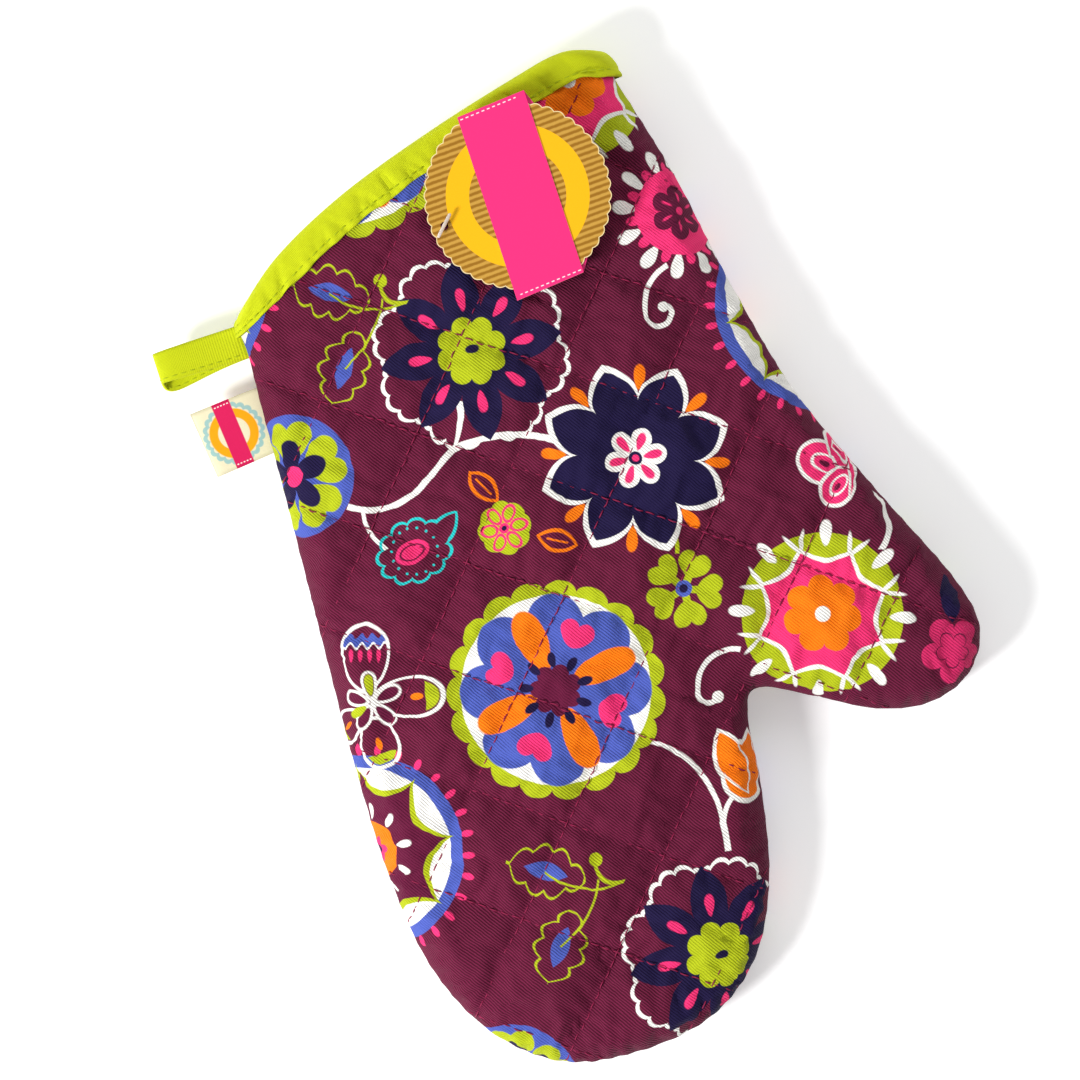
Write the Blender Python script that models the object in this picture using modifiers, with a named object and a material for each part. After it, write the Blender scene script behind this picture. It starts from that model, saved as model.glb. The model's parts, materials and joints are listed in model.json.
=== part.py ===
"""A quilted cotton oven mitt lying flat on its back panel, built from its separate layers.

The plan of the mitt is one smooth side line and one cuff line, in millimetres. Each layer is a half shell
that follows the same rounded section at its own depth, so the outer fabric, wadding and lining nest, and the
hand pocket stays open from the cuff to the fingertips and into the thumb.

Frame: metres, +Z up, fingertips towards -Y, thumb towards +X, origin at the bottom centre of the whole part.
"""

import math

import bmesh
import bpy
from mathutils import Matrix, Vector
from mathutils.geometry import delaunay_2d_cdt

MM = 0.001
GAP = 0.3
SAME_POINT = 1e-7
SAME_CURVE_POINT = 1e-6

# Plan of the mitt, from the left cuff corner round the fingers, crotch and thumb to the right cuff corner.
SIDE_POINTS = [
    (-107.5, 111), (-106.3, 80), (-104.2, 40), (-102, -12), (-99.6, -60), (-95.5, -102), (-87, -138),
    (-70, -166), (-45, -182.6), (-14, -184.3), (14, -176.5), (34, -158), (45, -130), (49, -96), (49.5, -70),
    (54.5, -61.5), (74, -69), (95, -78), (115, -80), (132, -72.5), (140.5, -56), (135, -35), (113, 4),
    (91, 46), (76, 90), (65, 130), (57, 153), (46.5, 181),
]
CUFF_POINTS = [(46.5, 181), (31, 182), (12, 176), (-22, 163), (-58, 147), (-86, 130), (-107.5, 111)]
SIDE_STEP = 17.0
CUFF_STEP = 17.0
CUFF_FINE_STEP = 1.0
SHARPEST_MITRE = 0.6

# Section of the mitt: the side seam runs at SEAM_Z, and both panels round over it.
SEAM_Z = 13.0
EDGE_ROUND = 16.0
TOP_RISE = 15.0
CROWN_RISE = 6.5
CROWN_REACH = 45.0
RING_ANGLES = [0, 40, 90]
CUFF_BAND = 10.0
CUFF_FADE = 60.0
CUFF_DROP = 3.0
CUFF_LIFT = 3.2
CUFF_ROOM = 4.0
ON_SIDE = 0.5

# Layers, as depths below the outer surface.
FABRIC = 0.9
QUILT_DEPTH = 1.2
QUILT_ROOM = 2.2
WADDING = 5.0
WADDING_AT_CUFF = 1.6
WADDING_FADE = 15.0
LINING = 0.6

# Quilting: a near-square grid of stitched lines.
QUILT_ORIGIN = Vector((-82.4, 77.0))
QUILT_ALONG = Vector((32.1, -19.1))
QUILT_ACROSS = Vector((23.8, 31.5))
QUILT_LINES = range(-8, 10)
QUILT_HALF_WIDTH = 6.0
QUILT_FADE_FROM_SIDE = (6.0, 16.0)
QUILT_FADE_FROM_CUFF = (12.0, 20.0)
COARSE_LATTICE = 27.0
COARSE_STEPS = range(-8, 8)
POINT_SPACE = 4.0
MERGE = 1e-3
THREAD_R = 0.3
THREAD_END = 2.0
SEAM_THREAD_SHARE = 0.6
CROSSING_RISE = 0.1
ON_LINE = 0.01
PLACE_DIGITS = 3

# Cuff binding: a tape folded over the edge of the mouth.
TAPE = 1.0
BINDING_LEG = 9.0
BINDING_EASE = 2.0
BINDING_CLEAR = 0.8
BINDING_STITCH_AT = 6.5

# Hanging loop and side label, both hinged along the side seam.
LOOP_LENGTH = 28.6
LOOP_WIDTH = 13.0
LOOP_HALF_HEIGHT = 6.0
LOOP_TAPE = 0.9
LOOP_ROOT = 6.0
LOOP_STITCH_IN = 2.0
LOOP_TAPER = 1.5
LOOP_SIDES = 40
LOOP_INNER_SIDES = 32
LOOP_AT = Vector((-111.4, 104.4))
LOOP_TURN = math.radians(5)
LABEL_LENGTH = 24.0
LABEL_WIDTH = 25.0
LABEL_PLY = 0.4
LABEL_GAP = 0.6
LABEL_AT = Vector((-107.8, 74.5))
LABEL_TURN = math.radians(9)
LABEL_SKEW = math.radians(5)
LABEL_BEND = range(90, 271, 30)

# Swing tag: a scalloped card disc with a straight band across it, on a nylon fastener.
TAG_CENTRE = Vector((4.1, 135.3))
TAG_HOLE = Vector((-24.5, 129.9))
TAG_RADIUS = 34.5
TAG_SCALLOPS = 46
SCALLOP_DEPTH = 0.9
STEPS_PER_SCALLOP = 3
TAG_BAND = (26.3, 71.0)
TAG_BAND_TURN = math.radians(8)
TAG_THICK = 0.6
TAG_Z = 37.0
TAG_HOLE_R = 1.6
TAG_HOLE_SIDES = 12
PIERCE_R = 0.9
PIERCE_SIDES = 6
FILAMENT_R = 0.35
TEE_R = 0.5
TEE_LENGTH = 10.0
TEE_LIFT = 2.9
TEE_TURN = math.radians(51.5)
ANCHOR_DROP = 1.2

COLOURS = {
    "plum_cotton": (0.085, 0.010, 0.036),
    "wadding_white": (0.80, 0.78, 0.72),
    "lining_cotton": (0.74, 0.70, 0.62),
    "plum_thread": (0.16, 0.012, 0.06),
    "lime_tape": (0.60, 0.66, 0.01),
    "lime_thread": (0.42, 0.50, 0.01),
    "label_cream": (0.86, 0.80, 0.62),
    "tag_card": (0.55, 0.36, 0.13),
    "clear_nylon": (0.82, 0.82, 0.78),
}

CLOTH_ROUGHNESS = 0.9
ROUGHNESS = {"tag_card": 0.6, "clear_nylon": 0.3}


def clamp01(value):
    return max(0.0, min(1.0, value))


def catmull(p0, p1, p2, p3, t):
    """A point on the smooth curve between p1 and p2."""
    square = 2 * p0 - 5 * p1 + 4 * p2 - p3
    cube = 3 * p1 - p0 - 3 * p2 + p3
    return (2 * p1 + (p2 - p0) * t + square * t**2 + cube * t**3) / 2


def smooth_line(points, step):
    """The smooth open line through the points, kept as corners, with even steps between them."""
    knots = [Vector(p) for p in points]
    ends = [2 * knots[0] - knots[1]] + knots + [2 * knots[-1] - knots[-2]]
    line = []
    for i in range(len(knots) - 1):
        parts = max(1, round((knots[i + 1] - knots[i]).length / step))
        line += [catmull(*ends[i : i + 4], n / parts) for n in range(parts)]
    return line + [knots[-1]]


def left_normals(line):
    """Normals at each point, to the left of travel, lengthened so that offset lines stay parallel."""
    runs = [(b - a).normalized() for a, b in zip(line, line[1:])]
    normals = []
    for before, after in zip(runs[:1] + runs, runs + runs[-1:]):
        turn = (before + after).normalized()
        normals.append(Vector((-turn.y, turn.x)) / max(SHARPEST_MITRE, turn.dot(after)))
    return normals


SIDE = smooth_line(SIDE_POINTS, SIDE_STEP)
SIDE_NORMALS = left_normals(SIDE)
CUFF_FINE = smooth_line(CUFF_POINTS, CUFF_FINE_STEP)
OUTLINE = SIDE + CUFF_FINE[1:-1]


def nearest(line, point):
    """Distance from the point to the line, the nearest place on it, and that place's segment and share."""
    best = (math.inf, line[0], 0, 0.0)
    for i in range(len(line) - 1):
        run = line[i + 1] - line[i]
        share = clamp01((point - line[i]).dot(run) / run.length_squared)
        place = line[i] + run * share
        distance = (point - place).length
        if distance < best[0]:
            best = (distance, place, i, share)
    return best


def inside(point, outline):
    """Whether the point is within the closed outline."""
    found = False
    for a, b in zip(outline, outline[1:] + outline[:1]):
        if (a.y > point.y) == (b.y > point.y):
            continue
        crossing = a.x + (point.y - a.y) * (b.x - a.x) / (b.y - a.y)
        if point.x < crossing:
            found = not found
    return found


def quilt_place(point):
    """The point in quilting cells: whole numbers are on a stitched line."""
    rel = point - QUILT_ORIGIN
    det = QUILT_ALONG.x * QUILT_ACROSS.y - QUILT_ALONG.y * QUILT_ACROSS.x
    return (
        (rel.x * QUILT_ACROSS.y - rel.y * QUILT_ACROSS.x) / det,
        (QUILT_ALONG.x * rel.y - QUILT_ALONG.y * rel.x) / det,
    )


def quilt_dip(point, from_side, from_cuff):
    """How far the stitched lines pull the surface in at this point."""
    i, j = quilt_place(point)
    off = min(abs(i - round(i)) * QUILT_ALONG.length, abs(j - round(j)) * QUILT_ACROSS.length)
    near_side, clear_side = QUILT_FADE_FROM_SIDE
    near_cuff, clear_cuff = QUILT_FADE_FROM_CUFF
    fade = clamp01((from_side - near_side) / (clear_side - near_side))
    fade *= clamp01((from_cuff - near_cuff) / (clear_cuff - near_cuff))
    return QUILT_DEPTH * fade * max(0.0, 1 - off / QUILT_HALF_WIDTH)


def layer_depths(from_cuff):
    """Depths of each layer's two faces; the wadding is pressed thin where the binding grips it."""
    spread = clamp01((from_cuff - CUFF_BAND) / WADDING_FADE)
    wadding_top = FABRIC + QUILT_ROOM
    wadding_end = wadding_top + WADDING_AT_CUFF + (WADDING - WADDING_AT_CUFF) * spread
    lining_end = wadding_end + GAP + LINING
    return {
        "outer": (0.0, FABRIC),
        "wadding": (wadding_top, wadding_end),
        "lining": (wadding_end + GAP, lining_end),
        "wall": (0.0, lining_end),
    }


def lift(point, face, depth, quilted=False):
    """The place in space of a plan point at a depth under the outer surface.

    face is 1 for the front panel and -1 for the back.
    """
    from_side, place, segment, share = nearest(SIDE, point)
    from_cuff = nearest(CUFF_FINE, point)[0]
    if from_side > ON_SIDE:
        inward = (point - place) / from_side
    else:
        inward = SIDE_NORMALS[segment].lerp(SIDE_NORMALS[segment + 1], share).normalized()
    cos_edge = max(0.0, 1 - from_side / EDGE_ROUND)
    sin_edge = math.sqrt(1 - cos_edge**2)
    near_cuff = clamp01((CUFF_BAND + CUFF_FADE - from_cuff) / CUFF_FADE)
    if face > 0:
        crown = CROWN_RISE * (1 - math.exp(-max(0.0, from_side - EDGE_ROUND) / CROWN_REACH))
        rise = TOP_RISE + crown - CUFF_DROP * near_cuff
    else:
        rise = SEAM_Z - CUFF_LIFT * near_cuff
    dip = quilt_dip(point, from_side, from_cuff) if quilted else 0.0
    z = SEAM_Z + face * (GAP / 2 + sin_edge * (rise - GAP / 2 - depth - dip))
    plan = point + inward * (depth * cos_edge)
    return Vector((plan.x, plan.y, z)) * MM


def ring_offset(angle):
    """How far inside the side line the rounded edge has turned through this many degrees."""
    return EDGE_ROUND * (1 - math.cos(math.radians(angle)))


def cuff_stations():
    """Plan points along the cuff with the direction into the mitt at each: rings first, then even steps."""
    half = len(CUFF_FINE) // 2
    ends = []
    for fine, along in ((CUFF_FINE[:half], SIDE[-2] - SIDE[-1]), (CUFF_FINE[:half:-1], SIDE[1] - SIDE[0])):
        here = []
        for angle in RING_ANGLES:
            offset = ring_offset(angle)
            point = fine[0] if offset == 0 else min(fine, key=lambda p: abs(nearest(SIDE, p)[0] - offset))
            here.append((point, along.normalized()))
        ends.append(here)
    first, last = ends[0][-1][0], ends[1][-1][0]
    start = CUFF_FINE.index(first)
    stop = CUFF_FINE.index(last)
    count = round((last - first).length / CUFF_STEP)
    middle = []
    run = last - first
    inward = Vector((-run.y, run.x)).normalized()
    for n in range(1, count):
        middle.append((CUFF_FINE[round(start + (stop - start) * n / count)], inward))
    return ends[0] + middle + ends[1][::-1]


STATIONS = cuff_stations()


def clear_of_cuff(point):
    return nearest(CUFF_FINE, point)[0] > CUFF_BAND + CUFF_ROOM


def ring_lines():
    """Lines parallel to the side, from cuff to cuff, where the rounded edge turns."""
    lines = []
    for index, angle in enumerate(RING_ANGLES):
        offset = ring_offset(angle)
        right, right_in = STATIONS[index]
        left, left_in = STATIONS[-1 - index]
        line = [left, left + left_in * CUFF_BAND]
        for place, normal in zip(SIDE, SIDE_NORMALS):
            point = place + normal * offset
            if clear_of_cuff(point) and (offset == 0 or inside(point, OUTLINE)):
                line.append(point)
        lines.append(line + [right + right_in * CUFF_BAND, right])
    return lines


def edge_spokes():
    """Short lines across the rounded edge at every side point, which keep its facets square to the side."""
    spokes = []
    for place, normal in zip(SIDE, SIDE_NORMALS):
        spoke = [place + normal * ring_offset(angle) for angle in RING_ANGLES]
        if clear_of_cuff(place) and clear_of_cuff(spoke[-1]):
            spokes.append(spoke)
    return spokes


def clear_points(points):
    """The plan points that are well inside the mitt, off the cuff band and off the fastener's hole."""
    kept = []
    for point in points:
        clear_side = nearest(SIDE, point)[0] > EDGE_ROUND + POINT_SPACE
        clear_hole = (point - TAG_HOLE).length > POINT_SPACE
        if clear_side and clear_hole and clear_of_cuff(point) and inside(point, OUTLINE):
            kept.append(point)
    return kept


def cell_points():
    """Four points in every quilting cell, at its thirds, which hold the puffed middle up."""
    thirds = (1 / 3, 2 / 3)
    cells = [(i + a, j + b) for i in QUILT_LINES for j in QUILT_LINES for a in thirds for b in thirds]
    return clear_points([QUILT_ORIGIN + QUILT_ALONG * i + QUILT_ACROSS * j for i, j in cells])


def coarse_points():
    """An open grid of points for the plain inner layers."""
    steps = [n + 1 / 2 for n in COARSE_STEPS]
    return clear_points([Vector((i, j)) * COARSE_LATTICE for i in steps for j in steps])


def quilt_ends():
    """The two ends of every stitched line, well outside the mitt."""
    first, last = QUILT_LINES[0], QUILT_LINES[-1]
    ends = []
    for n in QUILT_LINES:
        ends.append((QUILT_ORIGIN + QUILT_ACROSS * n + QUILT_ALONG * first,
                     QUILT_ORIGIN + QUILT_ACROSS * n + QUILT_ALONG * last))
        ends.append((QUILT_ORIGIN + QUILT_ALONG * n + QUILT_ACROSS * first,
                     QUILT_ORIGIN + QUILT_ALONG * n + QUILT_ACROSS * last))
    return ends


def circle(centre, radius, sides):
    """The corners of a regular outline round a centre."""
    turns = [2 * math.pi * n / sides for n in range(sides)]
    return [centre + radius * Vector((math.cos(turn), math.sin(turn))) for turn in turns]


def plan_mesh(quilted):
    """The mitt's plan cut into triangles along its rings, its cuff band and, if quilted, its stitched lines."""
    points = []
    edges = []

    def add_line(line):
        start = len(points)
        points.extend(line)
        edges.extend((start + i, start + i + 1) for i in range(len(line) - 1))

    for ring in RINGS:
        add_line(ring)
    add_line([place for place, _ in STATIONS])
    add_line([place + inward * CUFF_BAND for place, inward in STATIONS])
    for place, inward in STATIONS:
        add_line([place, place + inward * CUFF_BAND])
    for spoke in edge_spokes():
        add_line(spoke)
    pierced = circle(TAG_HOLE, PIERCE_R, PIERCE_SIDES)
    add_line(pierced + pierced[:1])
    quilt_from = len(edges)
    if quilted:
        for end in quilt_ends():
            add_line(end)
        points.extend(cell_points())
    else:
        points.extend(coarse_points())
    places, out_edges, faces, _, origins, _ = delaunay_2d_cdt(points, edges, [], 0, MERGE)
    boundary = RINGS[0] + [place for place, _ in STATIONS]
    kept = []
    for face in faces:
        centre = sum((places[i] for i in face), Vector((0, 0))) / len(face)
        if inside(centre, boundary) and (centre - TAG_HOLE).length > PIERCE_R / 2:
            kept.append(face)
    stitched = [edge for edge, origin in zip(out_edges, origins) if any(o >= quilt_from for o in origin)]
    return places, kept, stitched


RINGS = ring_lines()
QUILTED_PLAN = plan_mesh(quilted=True)
PLAIN_PLAN = plan_mesh(quilted=False)


def material(name):
    """A Principled material in the piece's own colour; only the nylon and the card are smooth."""
    found = bpy.data.materials.get(name) or bpy.data.materials.new(name)
    found.use_nodes = True
    shader = found.node_tree.nodes["Principled BSDF"]
    shader.inputs["Base Color"].default_value = (*COLOURS[name], 1)
    shader.inputs["Roughness"].default_value = ROUGHNESS.get(name, CLOTH_ROUGHNESS)
    shader.inputs["Metallic"].default_value = 0
    found.diffuse_color = (*COLOURS[name], 1)
    return found


def add_object(name, mesh, colour, collection):
    """A named object in the mitt's collection with its own material."""
    node = bpy.data.objects.new(name, mesh)
    collection.objects.link(node)
    node.data.materials.append(material(colour))
    return node


def finish_mesh(name, bm):
    """The closed mesh with its faces pointing out."""
    bmesh.ops.remove_doubles(bm, verts=bm.verts, dist=SAME_POINT)
    bmesh.ops.recalc_face_normals(bm, faces=bm.faces)
    mesh = bpy.data.meshes.new(name)
    bm.to_mesh(mesh)
    bm.free()
    return mesh


def half_shell(name, face, layer, colour, collection):
    """One layer of one panel: its plan lifted to the layer's outer face, then extruded to its inner face."""
    quilted = layer == "outer"
    places, triangles, _ = QUILTED_PLAN if quilted else PLAIN_PLAN
    bm = bmesh.new()
    used = sorted({i for triangle in triangles for i in triangle})
    verts = {i: bm.verts.new((*places[i], 0)) for i in used}
    sheet = [bm.faces.new([verts[i] for i in triangle]) for triangle in triangles]
    copy = bmesh.ops.extrude_face_region(bm, geom=sheet)["geom"]
    inner = {item for item in copy if isinstance(item, bmesh.types.BMVert)}
    for vert in bm.verts:
        point = vert.co.xy
        depths = layer_depths(nearest(CUFF_FINE, point)[0])[layer]
        vert.co = lift(point, face, depths[1] if vert in inner else depths[0], quilted)
    return add_object(name, finish_mesh(name, bm), colour, collection)


def clear_for_thread(place):
    clear_side = nearest(SIDE, place)[0] > THREAD_END
    clear_cuff = nearest(CUFF_FINE, place)[0] > CUFF_BAND + THREAD_END / 2
    return clear_side and clear_cuff and inside(place, OUTLINE)


def stitched_lines(direction):
    """The plan points along every stitched line of one family, in order, from edge to edge of the panel."""
    places, _, stitched = QUILTED_PLAN
    lines = {}
    for edge in stitched:
        cell = quilt_place((places[edge[0]] + places[edge[1]]) / 2)
        line = round(cell[direction])
        if abs(cell[direction] - line) > ON_LINE:
            continue
        for place in (places[i] for i in edge):
            if clear_for_thread(place):
                along = round(quilt_place(place)[1 - direction], PLACE_DIGITS)
                lines.setdefault(line, {})[along] = place
    runs = []
    for found in lines.values():
        ordered = [found[key] for key in sorted(found)]
        runs.append(ordered[:1])
        for before, place in zip(ordered, ordered[1:]):
            if not inside((before + place) / 2, OUTLINE):
                runs.append([])
            runs[-1].append(place)
    return [run for run in runs if len(run) > 1 and (run[0] - run[-1]).length > QUILT_ALONG.length]


def thread_runs(name, face, direction, height):
    """Square-cut threads along one family of stitched lines, lying in their valleys."""
    bm = bmesh.new()
    run = (QUILT_ACROSS if direction == 0 else QUILT_ALONG).normalized()
    beside = Vector((-run.y, run.x)) * THREAD_R
    corners = [(-1, 0), (1, 0), (1, 2), (-1, 2)]
    for line in stitched_lines(direction):
        rings = []
        for place in line:
            ring = []
            for side, up in corners:
                point = lift(place + beside * side, face, -height - THREAD_R * up, quilted=True)
                ring.append(bm.verts.new(point))
            rings.append(ring)
        join_rings(bm, rings, closed=False)
    return finish_mesh(name, bm)


def thread_net(name, face, collection, cutters):
    """The quilting thread of one panel, with the lines that cross joined into one piece."""
    crossing_mesh = thread_runs(name + "_crossing", face, 1, GAP + CROSSING_RISE)
    crossing = bpy.data.objects.new(name + "_crossing", crossing_mesh)
    cutters.objects.link(crossing)
    crossing.hide_render = True
    crossing.display_type = "WIRE"
    net = add_object(name, thread_runs(name, face, 0, GAP), "plum_thread", collection)
    union = net.modifiers.new("join", "BOOLEAN")
    union.operation = "UNION"
    union.object = crossing
    return net


def join_rings(bm, rings, closed):
    """Faces between matching rings of vertices, joined end to end where closed and capped where not."""
    pairs = list(zip(rings, rings[1:]))
    if closed:
        pairs.append((rings[-1], rings[0]))
    for near, far in pairs:
        for i in range(len(near)):
            j = (i + 1) % len(near)
            bm.faces.new((near[i], near[j], far[j], far[i]))
    if not closed:
        bm.faces.new(rings[0])
        bm.faces.new(rings[-1][::-1])


def sweep(name, rows, closed, colour, collection):
    """A solid from matching rings of points."""
    bm = bmesh.new()
    join_rings(bm, [[bm.verts.new(point) for point in row] for row in rows], closed)
    bmesh.ops.triangulate(bm, faces=bm.faces)
    return add_object(name, finish_mesh(name, bm), colour, collection)


def cuff_point(station, face, along, depth):
    """A point on the cuff wall: along is measured into the mitt, and past the edge where it is negative."""
    place, inward = station
    point = lift(place + inward * max(0.0, along), face, depth)
    return point - Vector((*inward, 0)) * max(0.0, -along) * MM


def cuff_loop():
    """The cuff's stations once round the mouth: the front from corner to corner, then the back."""
    return [(station, 1) for station in STATIONS] + [(station, -1) for station in STATIONS[::-1]]


def cuff_binding(collection):
    """The tape folded over the raw edge: a U section carried round the mouth."""
    wall = layer_depths(0.0)["wall"][1]
    near, far = -BINDING_CLEAR, wall + BINDING_CLEAR
    section = [
        (BINDING_LEG, near - TAPE), (-BINDING_EASE - TAPE, near - TAPE), (-BINDING_EASE - TAPE, far + TAPE),
        (BINDING_LEG, far + TAPE), (BINDING_LEG, far), (-BINDING_EASE, far),
        (-BINDING_EASE, near), (BINDING_LEG, near),
    ]
    rows = [[cuff_point(station, face, *place) for place in section] for station, face in cuff_loop()]
    return sweep("cuff_binding", rows, True, "lime_tape", collection)


def binding_stitching(collection):
    """The line of thread that holds the tape, just inside its edge on the outside of the mitt."""
    rest = -BINDING_CLEAR - TAPE - GAP
    near, far = BINDING_STITCH_AT - THREAD_R, BINDING_STITCH_AT + THREAD_R
    top = rest - 2 * THREAD_R
    section = [(near, rest), (far, rest), (far, top), (near, top)]
    rows = [[cuff_point(station, face, *place) for place in section] for station, face in cuff_loop()]
    return sweep("binding_stitching", rows, True, "lime_thread", collection)


def side_seam_thread(collection):
    """The thread that joins the two panels, hidden between the fabric's edge and the wadding."""
    middle = FABRIC + QUILT_ROOM * SEAM_THREAD_SHARE
    rows = []
    for place, normal in list(zip(SIDE, SIDE_NORMALS))[1:-1]:
        row = []
        for across, up in ((-1, -1), (1, -1), (1, 1), (-1, 1)):
            point = place + normal.normalized() * (middle + across * THREAD_R)
            row.append(Vector((point.x, point.y, SEAM_Z + up * THREAD_R)) * MM)
        rows.append(row)
    return sweep("side_seam_thread", rows, False, "plum_thread", collection)


def flat_solid(name, outlines, half_thickness):
    """A mesh from flat outlines, the first filled and the rest cut out of it, with an even thickness."""
    curve = bpy.data.curves.new(name, "CURVE")
    curve.dimensions = "2D"
    curve.fill_mode = "BOTH"
    curve.extrude = half_thickness * MM
    for outline in outlines:
        spline = curve.splines.new("POLY")
        spline.points.add(len(outline) - 1)
        spline.use_cyclic_u = True
        for point, place in zip(spline.points, outline):
            point.co = (place[0] * MM, place[1] * MM, 0, 1)
    guide = bpy.data.objects.new(name + "_curve", curve)
    bpy.context.scene.collection.objects.link(guide)
    shape = guide.evaluated_get(bpy.context.evaluated_depsgraph_get())
    bm = bmesh.new()
    bm.from_mesh(bpy.data.meshes.new_from_object(shape))
    bpy.data.objects.remove(guide)
    bmesh.ops.remove_doubles(bm, verts=bm.verts, dist=SAME_CURVE_POINT)
    return finish_mesh(name, bm)


def teardrop(length, half_height, start, sides):
    """A pointed loop, seen from its edge: it leaves the seam as a point and is round at the far end."""
    outline = []
    for n in range(sides):
        t = 2 * math.pi * n / sides
        along = start + length * (1 - math.cos(t)) / 2
        swell = math.sin(t) * abs(math.sin(t / 2)) ** LOOP_TAPER
        outline.append((-along, half_height * swell))
    return outline


def side_placing(at, turn, skew):
    """The matrix that lays a flat profile in the plane of its length and height, beside the side seam."""
    out = Vector((math.cos(turn), math.sin(turn), 0))
    across = Vector((math.sin(turn - skew), -math.cos(turn - skew), 0))
    up = Vector((0, 0, 1))
    frame = Matrix((out, up, across)).transposed().to_4x4()
    frame.translation = Vector((at.x, at.y, SEAM_Z)) * MM
    return frame


def hanging_loop(collection):
    """A folded tape loop, open between its two strands, and the thread along its lower edge."""
    outer = teardrop(LOOP_LENGTH, LOOP_HALF_HEIGHT, 0.0, LOOP_SIDES)
    opening = LOOP_LENGTH - LOOP_ROOT - LOOP_TAPE
    inner = teardrop(opening, LOOP_HALF_HEIGHT - LOOP_TAPE, LOOP_ROOT, LOOP_INNER_SIDES)
    placing = side_placing(LOOP_AT, LOOP_TURN, 0)
    mesh = flat_solid("hanging_loop", [outer, inner], LOOP_WIDTH / 2)
    mesh.transform(placing)
    loop = add_object("hanging_loop", mesh, "lime_tape", collection)
    strands = []
    for grown in (GAP, GAP + 2 * THREAD_R):
        strand = teardrop(LOOP_LENGTH + 2 * grown, LOOP_HALF_HEIGHT + grown, -grown, LOOP_SIDES)
        strands.append(strand[1:-1])
    under, over = strands
    mesh = flat_solid("loop_stitching", [under + over[::-1]], THREAD_R)
    mesh.transform(placing @ Matrix.Translation((0, 0, (LOOP_WIDTH / 2 - LOOP_STITCH_IN) * MM)))
    add_object("loop_stitching", mesh, "lime_thread", collection)
    return loop


def side_label(collection):
    """A woven label folded at its far edge, with both ends caught by the side seam."""
    half = LABEL_GAP / 2 + LABEL_PLY
    bend = [(math.cos(math.radians(a)), math.sin(math.radians(a))) for a in LABEL_BEND]
    reach = -LABEL_LENGTH + half
    outer = [(reach + half * x, half * y) for x, y in bend]
    inner = [(reach + LABEL_GAP / 2 * x, LABEL_GAP / 2 * y) for x, y in bend]
    outline = [(0, half)] + outer + [(0, -half), (0, -LABEL_GAP / 2)] + inner[::-1] + [(0, LABEL_GAP / 2)]
    mesh = flat_solid("side_label", [outline], LABEL_WIDTH / 2)
    mesh.transform(side_placing(LABEL_AT, LABEL_TURN, LABEL_SKEW))
    return add_object("side_label", mesh, "label_cream", collection)


def tag_outline():
    """The card's edge: the scalloped disc or the band across it, whichever reaches further."""
    half_width, half_length = TAG_BAND[0] / 2, TAG_BAND[1] / 2
    corner = math.atan2(half_length, half_width)
    steps = TAG_SCALLOPS * STEPS_PER_SCALLOP
    angles = [2 * math.pi * n / steps for n in range(steps)]
    for turn in (corner, math.pi - corner, math.pi + corner, 2 * math.pi - corner):
        angles.append(turn + TAG_BAND_TURN)
    outline = []
    for angle in sorted(angles):
        scallop = TAG_RADIUS - SCALLOP_DEPTH * (1 - abs(math.sin(angle * TAG_SCALLOPS / 2)))
        across = abs(math.cos(angle - TAG_BAND_TURN)) / half_width
        along = abs(math.sin(angle - TAG_BAND_TURN)) / half_length
        radius = max(scallop, 1 / max(across, along))
        outline.append((radius * math.cos(angle), radius * math.sin(angle)))
    return outline


def swing_tag(collection):
    """The card with its punched hole."""
    hole = circle(TAG_HOLE - TAG_CENTRE, TAG_HOLE_R, TAG_HOLE_SIDES)
    mesh = flat_solid("swing_tag", [tag_outline(), hole], TAG_THICK / 2)
    mesh.transform(Matrix.Translation(Vector((*TAG_CENTRE, TAG_Z + TAG_THICK / 2)) * MM))
    return add_object("swing_tag", mesh, "tag_card", collection)


def tag_fastener(collection):
    """A nylon fastener: a bar over the card, a filament down through the front panel, and a bar inside."""
    wall = layer_depths(nearest(CUFF_FINE, TAG_HOLE)[0])["wall"][1]
    inside_z = lift(TAG_HOLE, 1, wall).z / MM
    top = TAG_Z + TAG_THICK + TEE_LIFT
    bottom = inside_z - ANCHOR_DROP
    reach = Vector((math.cos(TEE_TURN), math.sin(TEE_TURN))) * TEE_LENGTH / 2
    points = [(*(TAG_HOLE + reach * s), z) for z in (top, bottom) for s in (-1, 0, 1)]
    links = [(0, 1), (1, 2), (1, 4), (3, 4), (4, 5)]
    mesh = bpy.data.meshes.new("tag_fastener")
    mesh.from_pydata([Vector(p) * MM for p in points], links, [])
    node = add_object("tag_fastener", mesh, "clear_nylon", collection)
    node.modifiers.new("moulding", "SKIN").branch_smoothing = 0
    for index, vert in enumerate(mesh.skin_vertices[0].data):
        radius = FILAMENT_R if index in (1, 4) else TEE_R
        vert.radius = (radius * MM, radius * MM)
    mesh.skin_vertices[0].data[1].use_root = True
    return node


def main():
    for old in list(bpy.data.objects):
        bpy.data.objects.remove(old)
    collection = bpy.data.collections.new("oven_mitt")
    cutters = bpy.data.collections.new("guides")
    for group in (collection, cutters):
        bpy.context.scene.collection.children.link(group)
    for word, face in (("front", 1), ("back", -1)):
        half_shell(f"{word}_outer_fabric", face, "outer", "plum_cotton", collection)
        half_shell(f"{word}_wadding", face, "wadding", "wadding_white", collection)
        half_shell(f"{word}_lining", face, "lining", "lining_cotton", collection)
        thread_net(f"{word}_quilting_thread", face, collection, cutters)
    side_seam_thread(collection)
    cuff_binding(collection)
    binding_stitching(collection)
    hanging_loop(collection)
    side_label(collection)
    swing_tag(collection)
    tag_fastener(collection)


main()
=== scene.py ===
"""Looks for the quilted cotton oven mitt: printed panels, stitches, bound cuff, loop, label and swing tag.

Plan coordinates are in millimetres in the row frame; they become metres where a mesh is made. The mitt's
section is the one the CAD solids follow, so every piece lies where its solid is.
"""

import json
import math

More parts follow.
